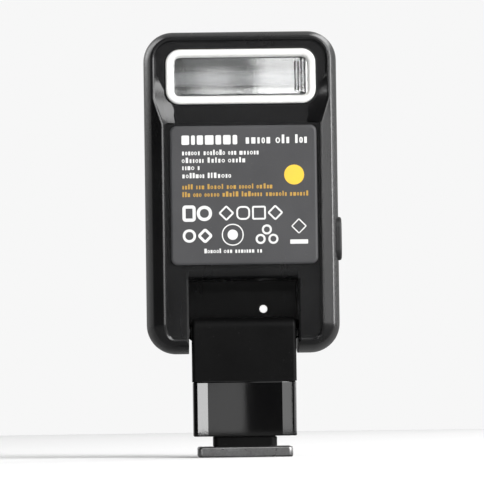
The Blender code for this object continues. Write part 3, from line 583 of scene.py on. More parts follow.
headOutline = {"centre": (headMiddle.x, headMiddle.z), "corner": head["corner"],
               "half": ((frontHigh.x - frontLow.x) / 2, (frontHigh.z - frontLow.z) / 2)}
pocketHalf = armHigh.x + head["pocketGap"]
pocketTop = hinge + head["pocketRise"]
pocketBack = armHigh.x - head["pocketShort"]
screwSpots = [nodeMiddle(f"cover_screw_{k}") for k in (1, 2, 3, 4)]


def rimInset(height, slope):
    if slope < -0.01:
        return head["rimBody"] + (head["rimFoot"] - head["rimBody"]) * slope * slope
    return blend(height, ((head["turnLow"], head["rimBody"]), (head["turnHigh"], head["rimTop"])))


def crest(height, slope):
    inset = rimInset(height, slope)
    return inset, head["sideDepth"] + (inset - head["sideIn"]) * head["chamferRise"]


def floorEdge(height, slope):
    inset = rimInset(height, slope)
    if height > head["turnLow"] + 0.01 and slope >= -0.01:
        return max(blend(height, head["facetEdge"]), head["rimTop"] + 0.65), head["windowFloor"]
    return inset + head["land"] + 0.2, head["labelFloor"]


def sideInset(depth):
    return head["sideIn"] * max(0.0, (depth - 0.1) / (head["sideDepth"] - 0.1)) ** 2.6


def crestRow(back, drop):  # a little before the crest
    def row(height, slope):
        inset, depth = crest(height, slope)
        return inset - back, depth - drop
    return row


def fallRow(share, ease):  # from the crest down to the floor
    def row(height, slope):
        (topIn, topOut), (lowIn, lowOut) = crest(height, slope), floorEdge(height, slope)
        topIn, topOut = topIn + head["land"], topOut - 0.2
        return topIn + (lowIn - topIn) * share, topOut + (lowOut - topOut) * ease
    return row


def floorRow(height, slope):  # a level strip inside the floor's edge keeps its shading flat
    inset, depth = floorEdge(height, slope)
    return inset + 0.25, depth


def frontShape():
    levels = [head["turnLow"], head["stepHigh"]] + [head["turnLow"] + 0.9 * k for k in range(1, 14)]
    bm, rim = outlineRim(headOutline, head["cornerSteps"], levels)
    start = rim
    for vert in bm.verts:
        core, out = wayIn(vert.co, headOutline)
        flat = core + out * (head["corner"] - head["parting"])
        vert.co = (flat.x, flat.y, -head["seam"])
    depths = [0.3, 1.5, 3.0, 4.4, 5.6, 6.6, 7.4, 8.1, 8.5]
    rows = stepRows([(sideInset(d), d) for d in depths])
    rows += stepRows([(head["sideIn"] + 0.1, head["sideDepth"])])
    rows += [crestRow(0.30, 0.246), crestRow(0.16, 0.15), crestRow(0.04, 0.085), crestRow(-0.06, 0.09),
             crestRow(-head["land"] + 0.05, 0.185)]
    rows += [fallRow(share, ease) for share, ease in ((0.0, 0.03), (0.05, 0.09), (0.34, 0.37), (0.64, 0.66),
                                                      (0.88, 0.90), (0.96, 0.975), (1.0, 1.0))]
    rows.append(floorRow)
    rim = growRim(bm, rim, headOutline, rows)
    corners = {v for e in rim for v in e.verts}
    across = []
    for level in (head["turnLow"], head["stepHigh"]):
        pair = [v for v in corners if abs(v.co.y - level) < 0.01]
        across.append(bm.edges.new(sorted(pair, key=lambda v: v.co.x)))
    bmesh.ops.edgenet_fill(bm, edges=rim + across)
    bmesh.ops.holes_fill(bm, edges=start, sides=0)
    return turned(bm, "front")


def backShape():
    deep = backHigh.y
    pairs = [(head["parting"], -0.1)] + [(0.08 * (d / 4.0) ** 2, -d) for d in (0.3, 2.0, 4.0)] + [(0.3, -6.2)]
    turn = [radians(10 * k) for k in range(1, 10)]
    pairs += [(0.45 + 3.0 * (1 - cos(a)), -6.9 - (deep - 6.9) * sin(a)) for a in turn] + [(4.0, -deep)]
    return turned(moulded(headOutline, pairs, head["cornerSteps"]), "front")


def headCavity(bossFrom, bossTo):
    pairs = [(2.5, 6.75), (1.75, 5.6), (head["wall"], 0.0), (1.8, -6.0), (3.4, -8.9)]
    wall = pocketHalf + head["pocketWall"]
    keep = joined([onBack(rod(head["boss"], bossFrom, bossTo, 20), spot) for spot in screwSpots])
    pocket = block((-wall, -beyond, 10), (wall, beyond, pocketTop + head["pocketWall"]))
    return carve(turned(moulded(headOutline, pairs, 10), "front"), [pocket, keep])


def pocketCutters():  # the slot, with a flared mouth at the sides and a rolled lip at the top
    half, mouth, lip, front = pocketHalf, head["mouth"], head["lip"], -head["labelFloor"]
    flare = -front - mouth
    splay = half + (beyond - flare)
    plan = [(-half, pocketBack), (-half, -flare), (-splay, -beyond), (splay, -beyond), (half, -flare),
            (half, pocketBack)]
    sides = profileBar(plan, 10, pocketTop)
    roll = [(-beyond, 10), (-beyond, pocketTop + lip), (front, pocketTop + lip)]
    roll += arcPoints((front + lip, pocketTop + lip), lip, 180, 270, 8)[1:]
    roll += [(pocketBack - 0.5, pocketTop), (pocketBack - 0.5, 10)]
    top = profileBar(roll, -half + 0.02, half - 0.02)
    return [sides, turned(top, "right")]


def pinHole():
    return turned(rod(head["pinBore"], -13, 13, 24), "right", (0, 0, hinge))


def flaredHole(outline, low, high, way, mouth, depth):  # an opening with a small flare at its mouth
    straight = moulded(outline, [(0.0, low), (0.0, high)], 6)
    flare = moulded(outline, [(0.0, depth - mouth), (-3 * mouth, depth + 2 * mouth)], 6)
    return [turned(straight, way), turned(flare, way)]


def buildFrontCover():
    windowHole = boxOutline("window_frame", "x", "z", 2.95, head["windowRoom"])
    side = nodeMiddle("side_button")
    sideHole = {"centre": (side.y, side.z), "half": head["sideHole"], "corner": 2.5}
    pilots = joined([onBack(rod(head["pilot"], -6.2, 1, 16), spot) for spot in screwSpots])
    cuts = [headCavity(-beyond, -0.3), *pocketCutters()]
    cuts += flaredHole(windowHole, 5, 12, "front", 0.18, head["windowFloor"])
    cuts += flaredHole(sideHole, 15, 21, "right", 0.2, frontHigh.x - 0.12)
    makePiece(carve(frontShape(), cuts + [pilots, pinHole()]), "headFront", "caseBlack", "head",
              ["front_cover"], 24, True)


def buildBackCover():
    usb, status, deep = nodeMiddle("usb_shell"), nodeMiddle("status_lens"), backHigh.y
    dialLow, dialHigh = nodeBox("power_dial")
    dialWide, sunk = (dialHigh.x - dialLow.x) / 2 + head["dialRoom"], deep - head["dialSink"]
    stem, bore, pilot, over = head["stemBore"], head["buttonBore"], head["pilot"], deep + 1.4
    dialHole = [(0, 8), (stem, 8), (stem, sunk), (dialWide, sunk), (dialWide, deep - 0.25),
                (dialWide + 0.25, deep), (dialWide + 1.6, over), (0, over)]
    screwHole = [(0, -1), (pilot, -1), (pilot, 9.3), (1.4, 9.3), (1.4, deep - 0.15), (3.0, over + 0.05),
                 (0, over + 0.05)]
    buttonHole = [(0, 8), (bore, 8), (bore, deep - 0.2), (5.0, over + 0.1), (0, over + 0.1)]
    cuts = [headCavity(0.3, beyond), *pocketCutters()]
    cuts.append(block((-pocketHalf, 0, 10), (pocketHalf, beyond, hinge - 1.3)))
    cuts += [onBack(spun(buttonHole, 48), nodeMiddle(name)) for name in ("mode_button", "test_button")]
    cuts.append(onBack(spun(dialHole, 96), nodeMiddle("power_dial")))
    cuts += [onBack(spun(screwHole, 28), spot) for spot in screwSpots]
    statusHole = {"centre": (-status.x, status.z), "half": head["statusHole"], "corner": 1.09}
    usbHole = {"centre": (-usb.y, usb.z), "half": head["socketHole"], "corner": 1.75}
    cuts += flaredHole(statusHole, 8, 12, "back", 0.15, deep)
    cuts += flaredHole(usbHole, 16, 21, "left", 0.2, -backLow.x - 0.15)
    cuts += [onBack(rod(head["lampBore"], 8, 12, 28), nodeMiddle("indicator_lens")), pinHole()]
    makePiece(carve(backShape(), cuts), "headBack", "caseBlack", "head", ["back_cover"], 24,
              True)


buildFrontCover()
buildBackCover()
print("head covers made")


def bevelEdges(bm, edges, offset, segments):
    bmesh.ops.bevel(bm, geom=edges, offset=offset, segments=segments, profile=0.5, affect="EDGES",
                    material=-1)


def flatEdges(bm, axis, at):  # the edges that lie in one plane
    return [e for e in bm.edges if all(abs(v.co[axis] - at) < 0.005 for v in e.verts)]


window = {"corner": 2.8, "edge": 0.5, "rim": 1.6, "ribs": 4, "ribPitch": 0.62, "ribFrom": 10.75,
          "ribHalf": 0.24, "pip": 0.3}


def buildWindow():
    outline = boxOutline("window_frame", "x", "z", window["corner"])
    low, high = -windowHigh.y, -windowLow.y
    rim = window["rim"]
    pairs = [(0.0, low), (0.0, high - 1.0)] + filletRows(0.0, high, window["edge"], 5)
    pairs += [(0.95, high - 0.02), (1.2, high - 0.12), (1.38, high - 0.3), (1.45, high - 0.55),
              (rim, high - 0.6), (rim, low)]
    frameShape = turned(moulded(outline, pairs, 12, True), "front")
    makePiece(frameShape, "windowFrame", "frameSilver", "head", ["window_frame"], 40)

    lensLow, lensHigh = nodeBox("fresnel_lens")
    face, back = -lensLow.y, -lensHigh.y
    panel = boxOutline("fresnel_lens", "x", "z", 1.2)
    middle = panel["centre"]
    shape = moulded(panel, [(0.1, back), (0.0, back + 0.1)] + filletRows(0.0, face - 0.12, 0.2, 3), 8)
    details = []
    reach = panel["half"][1] - 0.75
    for side in (-1, 1):
        for k in range(window["ribs"]):  # upright light-spreading ribs at both ends
            rib = {"centre": (side * (window["ribFrom"] + k * window["ribPitch"]), middle[1]),
                   "half": (window["ribHalf"], reach), "corner": window["ribHalf"] - 0.01}
            details.append(moulded(rib, [(0.0, face - 0.4)] + filletRows(0.0, face - 0.05, 0.22, 3), 3))
        for rise in (-1, 1):  # moulding pips in the corners
            at = (side * (panel["half"][0] - 1.0), middle[1] + rise * (panel["half"][1] - 0.42))
            details.append(spun([(0, face - 0.4), (window["pip"], face - 0.4), (window["pip"], face - 0.06),
                                 (window["pip"] * 0.7, face + 0.03), (0, face + 0.06)], 16, at))
    makePiece(turned(carve(shape, [], details), "front"), "windowPanel", "clearPanel", "head",
              ["fresnel_lens"], 35)


reflector = {"sheet": 0.28, "cheek": 0.3, "tubeBore": 1.75, "curve": 2.2, "steps": 28}


def buildReflector():  # a bright trough round the tube, with an end plate at each side
    low, high = nodeBox("reflector")
    tube = nodeMiddle("xenon_tube")
    sheet, cheek, steps = reflector["sheet"], reflector["cheek"], reflector["steps"]
    mouth, back, half = -low.y, -high.y + 0.6, (high.z - low.z) / 2 - 0.1

    def trough(spread, depth, front):
        across = [-1 + 2 * k / steps for k in range(steps + 1)]
        return [(front - (front - depth) * (1 - abs(t) ** reflector["curve"]), tube.z + spread * t)
                for t in across]

    outer = trough(half, back - sheet, mouth)
    inner = trough(half - sheet, back, mouth + 0.02)
    bm = profileBar(outer + inner[::-1], low.x + cheek, high.x - cheek)
    cheeks = [profileBar(outer, low.x, low.x + cheek), profileBar(outer, high.x - cheek, high.x)]
    shape = carve(bm, [rod(reflector["tubeBore"], low.x - 1, high.x + 1, 32, (-tube.y, tube.z))], cheeks)
    # drawn with x forward and y up, and pulled along z
    bmesh.ops.rotate(shape, cent=(0, 0, 0), matrix=Matrix(((0, 0, 1), (-1, 0, 0), (0, 1, 0))),
                     verts=shape.verts)
    bmesh.ops.recalc_face_normals(shape, faces=shape.faces)
    makePiece(shape, "flashReflector", "brightMirror", "head", ["reflector"], 40, True)


def buildFlashTube():
    low, high = nodeBox("xenon_tube")
    outer, bore, half = (high.z - low.z) / 2, 0.95, (high.x - low.x) / 2
    tube = spun([(bore, -half), (outer - 0.15, -half), (outer, -half + 0.2), (outer, half - 0.2),
                 (outer - 0.15, half), (bore, half)], 32)
    middle = (low + high) / 2
    makePiece(turned(tube, "right", middle), "flashTube", "clearTube", "head", ["xenon_tube"],
              40)
    for name, piece in (("tube_boot_left", "tubeBootLeft"), ("tube_boot_right", "tubeBootRight")):
        bootLow, bootHigh = nodeBox(name)
        radius, length = (bootHigh.z - bootLow.z) / 2, bootHigh.x - bootLow.x
        boot = spun([(outer + 0.05, 0), (radius - 0.2, 0), (radius, 0.2), (radius, length * 0.4),
                     (radius - 0.25, length * 0.5), (radius, length * 0.6), (radius, length - 0.2),
                     (radius - 0.2, length), (outer + 0.05, length)], 32)
        makePiece(turned(boot, "right", (bootLow.x, middle.y, middle.z)), piece, "siliconeGrey", "head",
                  [name], 40)


buildWindow()
buildReflector()
buildFlashTube()
print("flash window made")


label = {"corner": 1.3, "chamfer": 0.38, "edgeRise": 0.3, "ink": 0.03}
labelFace = -labelLow.y  # how far forward its printed face is


def buildLabelPlate():
    outline = boxOutline("label_plate", "x", "z", label["corner"])
    low = -labelHigh.y
    chamfer, edge = label["chamfer"], labelFace - label["edgeRise"]
    pairs = [(0.0, low), (0.0, edge), (0.08, edge + 0.12), (chamfer - 0.06, labelFace - 0.03),
             (chamfer + 0.05, labelFace), (chamfer + 0.3, labelFace)]
    makePiece(turned(moulded(outline, pairs, 10), "front"), "labelPlate", "labelGrey", "head",
              ["label_plate"], 35)


def mark(x, z, halfX, halfZ, corner=None, ring=0.0, turn=0.0):  # a plain raised mark, or a ring
    small = min(halfX, halfZ)
    corner = small * 0.98 if corner is None else max(corner, min(ring + 0.02, small * 0.98))
    outline = {"centre": (0, 0), "half": (halfX, halfZ), "corner": corner}
    low, high = labelFace - 0.05, labelFace + label["ink"]
    pairs = [(0.0, low), (0.0, high)] + ([(ring, high), (ring, low)] if ring else [])
    shape = moulded(outline, pairs, 6 if small > 0.8 else 2, bool(ring))
    bmesh.ops.rotate(shape, cent=(0, 0, 0), matrix=Matrix.Rotation(radians(turn), 3, "Z"), verts=shape.verts)
    bmesh.ops.translate(shape, vec=(x, z, 0), verts=shape.verts)
    return shape


def greekedRow(draw, left, right, z, height, stroke):
    # a line of meaningless little marks, grouped like words
    marks, x = [], left
    while x < right - stroke:
        for k in range(draw.randint(3, 8)):
            wide = height * draw.uniform(0.36, 0.62)
            if x + wide > right:
                break
            middle = x + wide / 2
            tall = draw.choice((0.36, 0.36, 0.5))
            if draw.random() < 0.3:
                marks.append(mark(middle, z, wide / 2, height * 0.34, ring=stroke))
            else:
                half = wide * draw.uniform(0.3, 0.5)
                marks.append(mark(middle, z + height * (tall - 0.36), half, height * tall, 0.06))
            x += wide + height * 0.14
        x += height * 0.45
    return marks


def buildLabelPrint():
    draw = random.Random(7)
    left = labelLow.x + 2.3
    white = []
    x = left
    for wide in (1.5, 0.75, 1.2, 1.7, 1.1, 1.5, 0.9):  # bold heading blocks, then a lighter line
        white.append(mark(x + wide / 2, 62.2, wide / 2, 0.92, 0.22))
        x += wide + 0.38
    white += greekedRow(draw, 0.6, 13.3, 62.0, 1.7, 0.24)
    for right, z in ((3.6, 59.6), (1.3, 58.1), (-7.6, 56.7), (-1.7, 55.1)):
        white += greekedRow(draw, left, right, z, 1.05, 0.16)
    white += greekedRow(draw, -7.6, 4.2, 40.3, 0.9, 0.13)
    # plain shapes in two rows, and a bar
    top, low = 47.8, 43.4
    white += [mark(left + 1.3, top, 1.3, 1.6, 0.4, 0.62), mark(left + 4.3, top, 1.5, 1.5, 1.45, 0.62)]
    for x, turn, corner in ((8.6, 45, 0.1), (11.9, 0, 1.0), (15.0, 0, 0.25), (18.2, 45, 0.1)):
        half = 1.12 if turn else 1.35
        white.append(mark(left + x, top, half, half, corner, 0.34, turn))
    white += [mark(left + 1.3, low, 1.3, 1.3, 1.25, 0.5), mark(left + 4.4, low, 1.12, 1.12, 0.1, 0.5, 45)]
    white += [mark(-2.0, low + 0.15, 2.15, 2.15, 2.1, 0.22), mark(-2.0, low + 0.15, 1.0, 1.0, 0.95)]
    for dx, dz in ((-1.25, -0.75), (1.25, -0.75), (0, 1.1)):
        white.append(mark(4.7 + dx, low + dz, 0.98, 0.98, 0.95, 0.4))
    white += [mark(11.0, low + 1.7, 1.1, 1.1, 0.1, 0.22, 45), mark(11.0, low - 1.35, 1.75, 0.42, 0.1)]
    ochre = greekedRow(draw, left, 6.6, 52.9, 1.0, 0.17) + greekedRow(draw, left, 13.1, 51.4, 1.0, 0.17)
    disc = [mark(10.2, 55.2, 1.95, 1.95, 1.9)]
    for marks, name, colour in ((white, "labelWhitePrint", "printWhite"),
                                (ochre, "labelOchrePrint", "printOchre"),
                                (disc, "labelYellowDisc", "printYellow")):
        makePiece(turned(joined(marks), "front"), name, colour, "head", (), 40)


buildLabelPlate()
buildLabelPrint()
print("label made")


arm = {"topRound": 2.0, "edge": 0.7, "wall": 1.3, "skirt": 0.14, "bushBore": 1.8}


def armHalf(front):
    low, high = nodeBox("arm_front_cover" if front else "arm_back_cover")
    low.z -= arm["skirt"]
    deep = max(abs(low.y), abs(high.y))
    roundness = arm["topRound"]
    side = [(deep, low.z), *arcPoints((deep - roundness, high.z - roundness), roundness, 0, 90, 8)]
    outline = side + [(-y, z) for y, z in side[::-1]]
    bm = profileBar(outline, low.x, high.x)
    for at in (low.x, high.x):  # all but the edges at the skirt
        raised = [e for e in flatEdges(bm, 2, at) if e.verts[0].co.y + e.verts[1].co.y > 2 * low.z + 0.02]
        bevelEdges(bm, raised, arm["edge"], 4)
    turned(bm, "right")
    cutFrom, cutTo = (-0.1, 20) if front else (-20, 0.1)
    cut = block((low.x - 1, cutFrom, low.z - 1), (high.x + 1, cutTo, high.z + 1))
    wall = arm["wall"]
    inside = block((low.x + wall, -deep + wall, low.z - 1), (high.x - wall, deep - wall, high.z - wall))
    holes = turned(rod(arm["bushBore"], -13, 13, 28), "right", (0, 0, hinge))
    return carve(bm, [cut, inside, holes])


def buildArm():
    for front, name, node in ((True, "armFront", "arm_front_cover"), (False, "armBack", "arm_back_cover")):
        makePiece(armHalf(front), name, "armBlack", "foot", [node], 25, True)
    for name, piece in (("hinge_bush_left", "hingeBushLeft"), ("hinge_bush_right", "hingeBushRight")):
        low, high = nodeBox(name)
        radius, length = (high.z - low.z) / 2, high.x - low.x
        bore = head["pinBore"]
        bush = spun([(bore, 0), (radius - 0.15, 0), (radius, 0.15), (radius, length - 0.15),
                     (radius - 0.15, length), (bore, length)], 36)
        makePiece(turned(bush, "right", (low.x, 0, hinge)), piece, "insertBlack", "foot",
                  [name], 40)


sleeve = {"faceHalf": 7.3, "facetEnd": 9.3, "facetDrop": 0.5, "corner": 1.07, "edge": 0.22, "wall": 1.2}


def buildSleeve():
    low, high = nodeBox("gloss_sleeve")
    halfX, halfY = high.x, high.y
    tilt = atan2(sleeve["facetDrop"], sleeve["facetEnd"] - sleeve["faceHalf"])
    radius = sleeve["corner"]
    middle = (sleeve["facetEnd"] - radius * sin(tilt), halfY - sleeve["facetDrop"] - radius * cos(tilt))
    turn = 90 - tilt * 180 / pi
    quarter = [(sleeve["faceHalf"], halfY)] + arcPoints(middle, radius, turn, 0, 7)
    half = quarter + [(x, -y) for x, y in quarter[::-1]]
    plan = half + [(-x, y) for x, y in half[::-1]]
    bm = profileBar(plan, low.z, high.z)
    bmesh.ops.recalc_face_normals(bm, faces=bm.faces)
    for at in (low.z, high.z):
        bevelEdges(bm, flatEdges(bm, 2, at), sleeve["edge"], 3)
    wall = sleeve["wall"]
    collar = {"centre": (0, 0), "half": (halfX - wall - 0.3, halfY - wall - 0.3), "corner": 0.6}
    inside = block((-halfX + wall, -halfY + wall, low.z - 1), (halfX - wall, halfY - wall, high.z - wall))
    shape = carve(bm, [inside, rod(1.4, low.z, high.z + 1, 24)],
                  [moulded(collar, [(0.0, high.z - 0.5), (0.0, high.z + 0.9)], 3)])
    makePiece(shape, "glossSleeve", "pianoBlack", "foot", ["gloss_sleeve"], 12.5, True)


buildArm()
buildSleeve()
print("arm made")


screw = {"pitch": 0.5, "lead": 0.6, "reach": 0.62, "slot": 0.13}


def crossScrew(name, piece, way, radius, headHeight, shank):
    # pan head with a cross recess, on a threaded shank
    low, high = nodeBox(name)
    middle = (low + high) / 2
    onHead = way == "back"
    top, bottom = (high.y, low.y) if onHead else (-low.z, -high.z)
    under = top - headHeight
    dome = [(radius, under), (radius, top - headHeight * 0.45), (radius * 0.9, top - headHeight * 0.16),
            (radius * 0.6, top - headHeight * 0.03), (0, top)]
    thread, pitch = [], screw["pitch"]
    for k in range(int((under - bottom - screw["lead"]) / pitch)):
        at = bottom + screw["lead"] + k * pitch
        thread += [(shank * 0.78, at), (shank, at + pitch / 2)]
    profile = [(0, bottom), (shank * 0.5, bottom + 0.25)] + thread + [(shank * 0.8, under)]
    reach, slotHalf = radius * screw["reach"], radius * screw["slot"]
    recess = []
    for turn in (0, 1):
        arms = block((-reach, -slotHalf, top - headHeight * 0.75), (reach, slotHalf, top + 1))
        bmesh.ops.rotate(arms, cent=(0, 0, 0), matrix=Matrix.Rotation(turn * pi / 2 + 0.4 * middle.x, 3, "Z"),
                         verts=arms.verts)
        recess.append(arms)
    at = (middle.x, 0, middle.z) if onHead else (middle.x, middle.y, 0)
    makePiece(turned(carve(spun(profile + dome, 28), recess), way, at), piece, "screwSteel",
              "head" if onHead else "foot", [name], 35, True)


foot = {"corner": 0.9, "edge": 0.3, "countersink": 1.75, "shank": 0.95}
blockHole = boxOutline("contact_block", "x", "y", 0.8, 0.2)


def buildShoePlate(screws):
    low, high = nodeBox("shoe_plate")
    outline = boxOutline("shoe_plate", "x", "y", foot["corner"])
    edge, sink = foot["edge"], foot["countersink"]
    pairs = [(edge, low.z), (edge * 0.3, low.z + edge * 0.3), (0.0, low.z + edge)]
    pairs += filletRows(0.0, high.z, edge, 3)
    cuts = [moulded(blockHole, pair, 5) for pair in ([(0.0, -1.0), (0.0, 3.0)], [(-0.5, -0.3), (0.0, 0.2)])]
    well = [(0, -1), (sink + 0.2, -1), (sink + 0.2, 0.0), (sink, 0.2), (sink, 1.25), (foot["shank"], 1.25),
            (foot["shank"], 3), (0, 3)]
    cuts += [spun(well, 32, (spot.x, spot.y)) for spot in screws]
    makePiece(carve(moulded(outline, pairs, 6), cuts), "shoePlate", "footSteel", "foot",
              ["shoe_plate"], 30, True)


def buildRiser(screws):
    low, high = nodeBox("shoe_riser")
    outline = boxOutline("shoe_riser", "x", "y", 1.2)
    pairs = [(0.0, low.z), (0.0, high.z - 0.25)] + filletRows(0.0, high.z, 0.2, 2)
    plinth = block((-5.9, -7.5, high.z - 0.5), (5.9, 7.5, high.z + 0.8))
    cuts = [moulded(blockHole, [(0.0, 1.0), (0.0, 6.0)], 5)]
    cuts += [rod(foot["shank"], 1, 6, 20, (spot.x, spot.y)) for spot in screws]
    makePiece(carve(moulded(outline, pairs, 6), cuts, [plinth]), "shoeRiser", "armBlack", "foot",
              ["shoe_riser"], 30, True)


def buildContactBlock():
    low, high = nodeBox("contact_block")
    outline = boxOutline("contact_block", "x", "y", 0.7)
    pairs = [(0.25, low.z), (0.07, low.z + 0.07), (0.0, low.z + 0.25), (0.0, high.z)]
    cuts = []
    for name in contactNodes:
        pinLow, pinHigh = nodeBox(name)
        radius, at = (pinHigh.x - pinLow.x) / 2 + 0.12, (pinLow + pinHigh) / 2
        bore = [(0, low.z - 1), (radius + 0.2, low.z - 1), (radius + 0.2, low.z), (radius, low.z + 0.2),
                (radius, high.z + 1), (0, high.z + 1)]
        cuts.append(spun(bore, 32, (at.x, at.y)))
    makePiece(carve(moulded(outline, pairs, 5), cuts), "contactBlock", "insertBlack", "foot",
              ["contact_block"], 30, True)


def buildFoot():
    screws = [nodeMiddle(f"foot_screw_{k}") for k in (1, 2, 3, 4)]
    buildShoePlate(screws)
    buildRiser(screws)
    buildContactBlock()
    for k in (1, 2, 3, 4):
        crossScrew(f"foot_screw_{k}", f"footScrew{k}", "down", 1.5, 0.9, 0.75)


contactNodes = ["hot_contact"] + [f"signal_contact_{k}" for k in (1, 2, 3, 4)]


def buildContacts():  # sprung pins with rounded tips
    for name in contactNodes:
        low, high = nodeBox(name)
        radius, at = (high.x - low.x) / 2, (low + high) / 2
        tip = [(radius * sin(a), low.z + radius * 0.45 * (1 - cos(a))) for a in quarterTurn(6)]
        shape = spun(tip + [(radius, high.z - 0.15), (radius - 0.12, high.z), (0, high.z)], 32, (at.x, at.y))
        piece = "hotContactPin" if name == "hot_contact" else "signalPin" + name[-1]
        makePiece(shape, piece, "contactGold", name, [name], 45)


buildFoot()
buildContacts()
print("foot made")


dial = {"grips": 44, "gripDepth": 0.32, "steps": 264, "edge": 0.55, "capDish": 0.25, "numberHeight": 1.75,
        "numberSpread": 38.0, "numbers": ("1", "2", "4", "8", "16", "32", "64")}
dialAt = nodeMiddle("power_dial")


def printedText(words, height, place):  # generic printed figures as a thin solid
    curve = bpy.data.curves.new("figure", "FONT")
    curve.body = words
    curve.size = height
    curve.align_x, curve.align_y = "CENTER", "CENTER"
    curve.extrude = 0.03
    curve.resolution_u = 3
    figure = bpy.data.objects.new("figure", curve)
    bpy.context.scene.collection.objects.link(figure)
    bm = bmesh.new()
    bm.from_mesh(figure.evaluated_get(bpy.context.evaluated_depsgraph_get()).to_mesh())
    bpy.data.curves.remove(curve)
    bmesh.ops.remove_doubles(bm, verts=bm.verts, dist=0.001)
    bmesh.ops.recalc_face_normals(bm, faces=bm.faces)
    bmesh.ops.transform(bm, matrix=place, verts=bm.verts)
    return bm


def buildDial():
    low, high = nodeBox("power_dial")
    capLow, capHigh = nodeBox("dial_cap")
    radius, top, bottom = (high.x - low.x) / 2, high.y, 9.9
    capRadius = (capHigh.x - capLow.x) / 2
    inner = capRadius + 0.25
    profile = [(0, bottom), (radius - 0.3, bottom), (radius, bottom + 0.3)]
    profile += roundEdge(radius, top, dial["edge"], 4)
    profile += [(inner + 0.2, top), (inner, top - 0.15), (inner, capLow.y - 0.25), (0, capLow.y - 0.25)]
    bm = spun(profile, dial["steps"])
    for vert in bm.verts:  # scalloped grip round the rim
        spread = hypot(vert.co.x, vert.co.y)
        if spread > radius - 0.6:
            share = max(0.0, cos(dial["grips"] * atan2(vert.co.y, vert.co.x))) ** 0.7
            vert.co.xy *= 1 - dial["gripDepth"] * share / spread
    stem = rod(3.0, low.y, bottom + 0.2, 40)
    notch = moulded({"centre": (0, radius - 1.2), "half": (0.32, 1.9), "corner": 0.31},
                    [(0.0, top - 0.35), (0.0, top + 1)], 4)
    shape = carve(bm, [rod(1.6, low.y - 1, capLow.y - 0.6, 28), notch], [stem])
    makePiece(onBack(shape, dialAt), "powerDial", "dialBlack", "power_dial", ["power_dial"], 28,
              True)
    dish, crown, seat = dial["capDish"], capHigh.y, capLow.y + 0.05
    face = [(0, crown - dish), (capRadius * 0.55, crown - dish), (capRadius * 0.62, crown - dish * 0.6),
            (capRadius * 0.7, crown - 0.03), (capRadius - 0.3, crown), (capRadius - 0.08, crown - 0.1),
            (capRadius, crown - 0.3), (capRadius, seat), (0, seat)]
    makePiece(onBack(spun(face, 120), dialAt), "dialCap", "dialBlack", "power_dial",
              ["dial_cap"], 28)
    # pointer on the dial, and figures on the cover round it
    line = moulded({"centre": (0, radius - 1.3), "half": (0.2, 1.6), "corner": 0.19},
                   [(0.0, top - 0.36), (0.0, top - 0.3)], 4)
    makePiece(onBack(line, dialAt), "dialPointer", "printWhite", "power_dial", (), 40)
    figures = []
    surface, ring = backHigh.y, radius + 2.3
    for k, words in enumerate(dial["numbers"]):
        turn = radians((k - (len(dial["numbers"]) - 1) / 2) * dial["numberSpread"])
        at = Matrix.Translation((-sin(turn) * ring, cos(turn) * ring, surface))
        figures.append(printedText(words, dial["numberHeight"], at))
    makePiece(onBack(joined(figures), dialAt), "dialFigures", "printWhite", "head", (), 40)


button = {"radius": 3.0, "flange": 0.9, "edge": 0.4, "dish": 0.26}


def buildButtons():
    radius, edge, flange = button["radius"], button["edge"], button["flange"]
    for name, piece in (("mode_button", "modeButton"), ("test_button", "testButton")):
        low, high = nodeBox(name)
        at, wide, top = (low + high) / 2, (high.x - low.x) / 2, high.y
        profile = [(0, low.y), (wide, low.y), (wide, low.y + flange), (radius, low.y + flange)]
        profile += roundEdge(radius, top, edge, 3)
        profile += [(radius - 0.9, top - 0.04), (radius * 0.45, top - 0.2), (0, top - button["dish"])]
        makePiece(onBack(spun(profile, 64), at), piece, "buttonBlack", name, [name], 35)
        under, over = top - 0.35, top - 0.19
        if name == "mode_button":
            sign = [moulded({"centre": (0, rise), "half": (0.75, 0.13), "corner": 0.12},
                            [(0.0, under), (0.0, over + 0.02)], 3) for rise in (-0.5, 0.0, 0.5)]
        else:
            sign = [moulded({"centre": (0, 0), "half": (0.62, 0.62), "corner": 0.6},
                            [(0.0, under), (0.0, over), (0.2, over), (0.2, under)], 8, True)]
        makePiece(onBack(joined(sign), at), piece + "Sign", "printWhite", name, (), 40)


sideCap = {"corner": 2.25, "inset": 0.4, "edge": 0.45, "ribPitch": 1.1, "ribHalf": (1.15, 0.16)}


def buildSideButton():
    low, high = nodeBox("side_button")
    outline = boxOutline("side_button", "y", "z", sideCap["corner"], -sideCap["inset"])
    flange = boxOutline("side_button", "y", "z", 2.5)
    top, (y, z) = high.x, outline["centre"]
    pairs = [(0.0, low.x + 0.6)] + filletRows(0.0, top, sideCap["edge"], 4)
    pairs += [(1.2, top - 0.03), (1.9, top - 0.08)]
    ribs = []
    for k in range(-2, 3):  # finger ribs
        rib = {"centre": (y, z + sideCap["ribPitch"] * k), "half": sideCap["ribHalf"], "corner": 0.15}
        ribs.append(moulded(rib, [(0.0, top - 0.3), (0.0, top + 1)], 3))
    skirt = moulded(flange, [(0.0, low.x), (0.0, low.x + 0.9)], 10)
    shape = carve(moulded(outline, pairs, 10), ribs, [skirt])
    makePiece(turned(shape, "right"), "sideButton", "buttonBlack", "side_button",
              ["side_button"], 35, True)


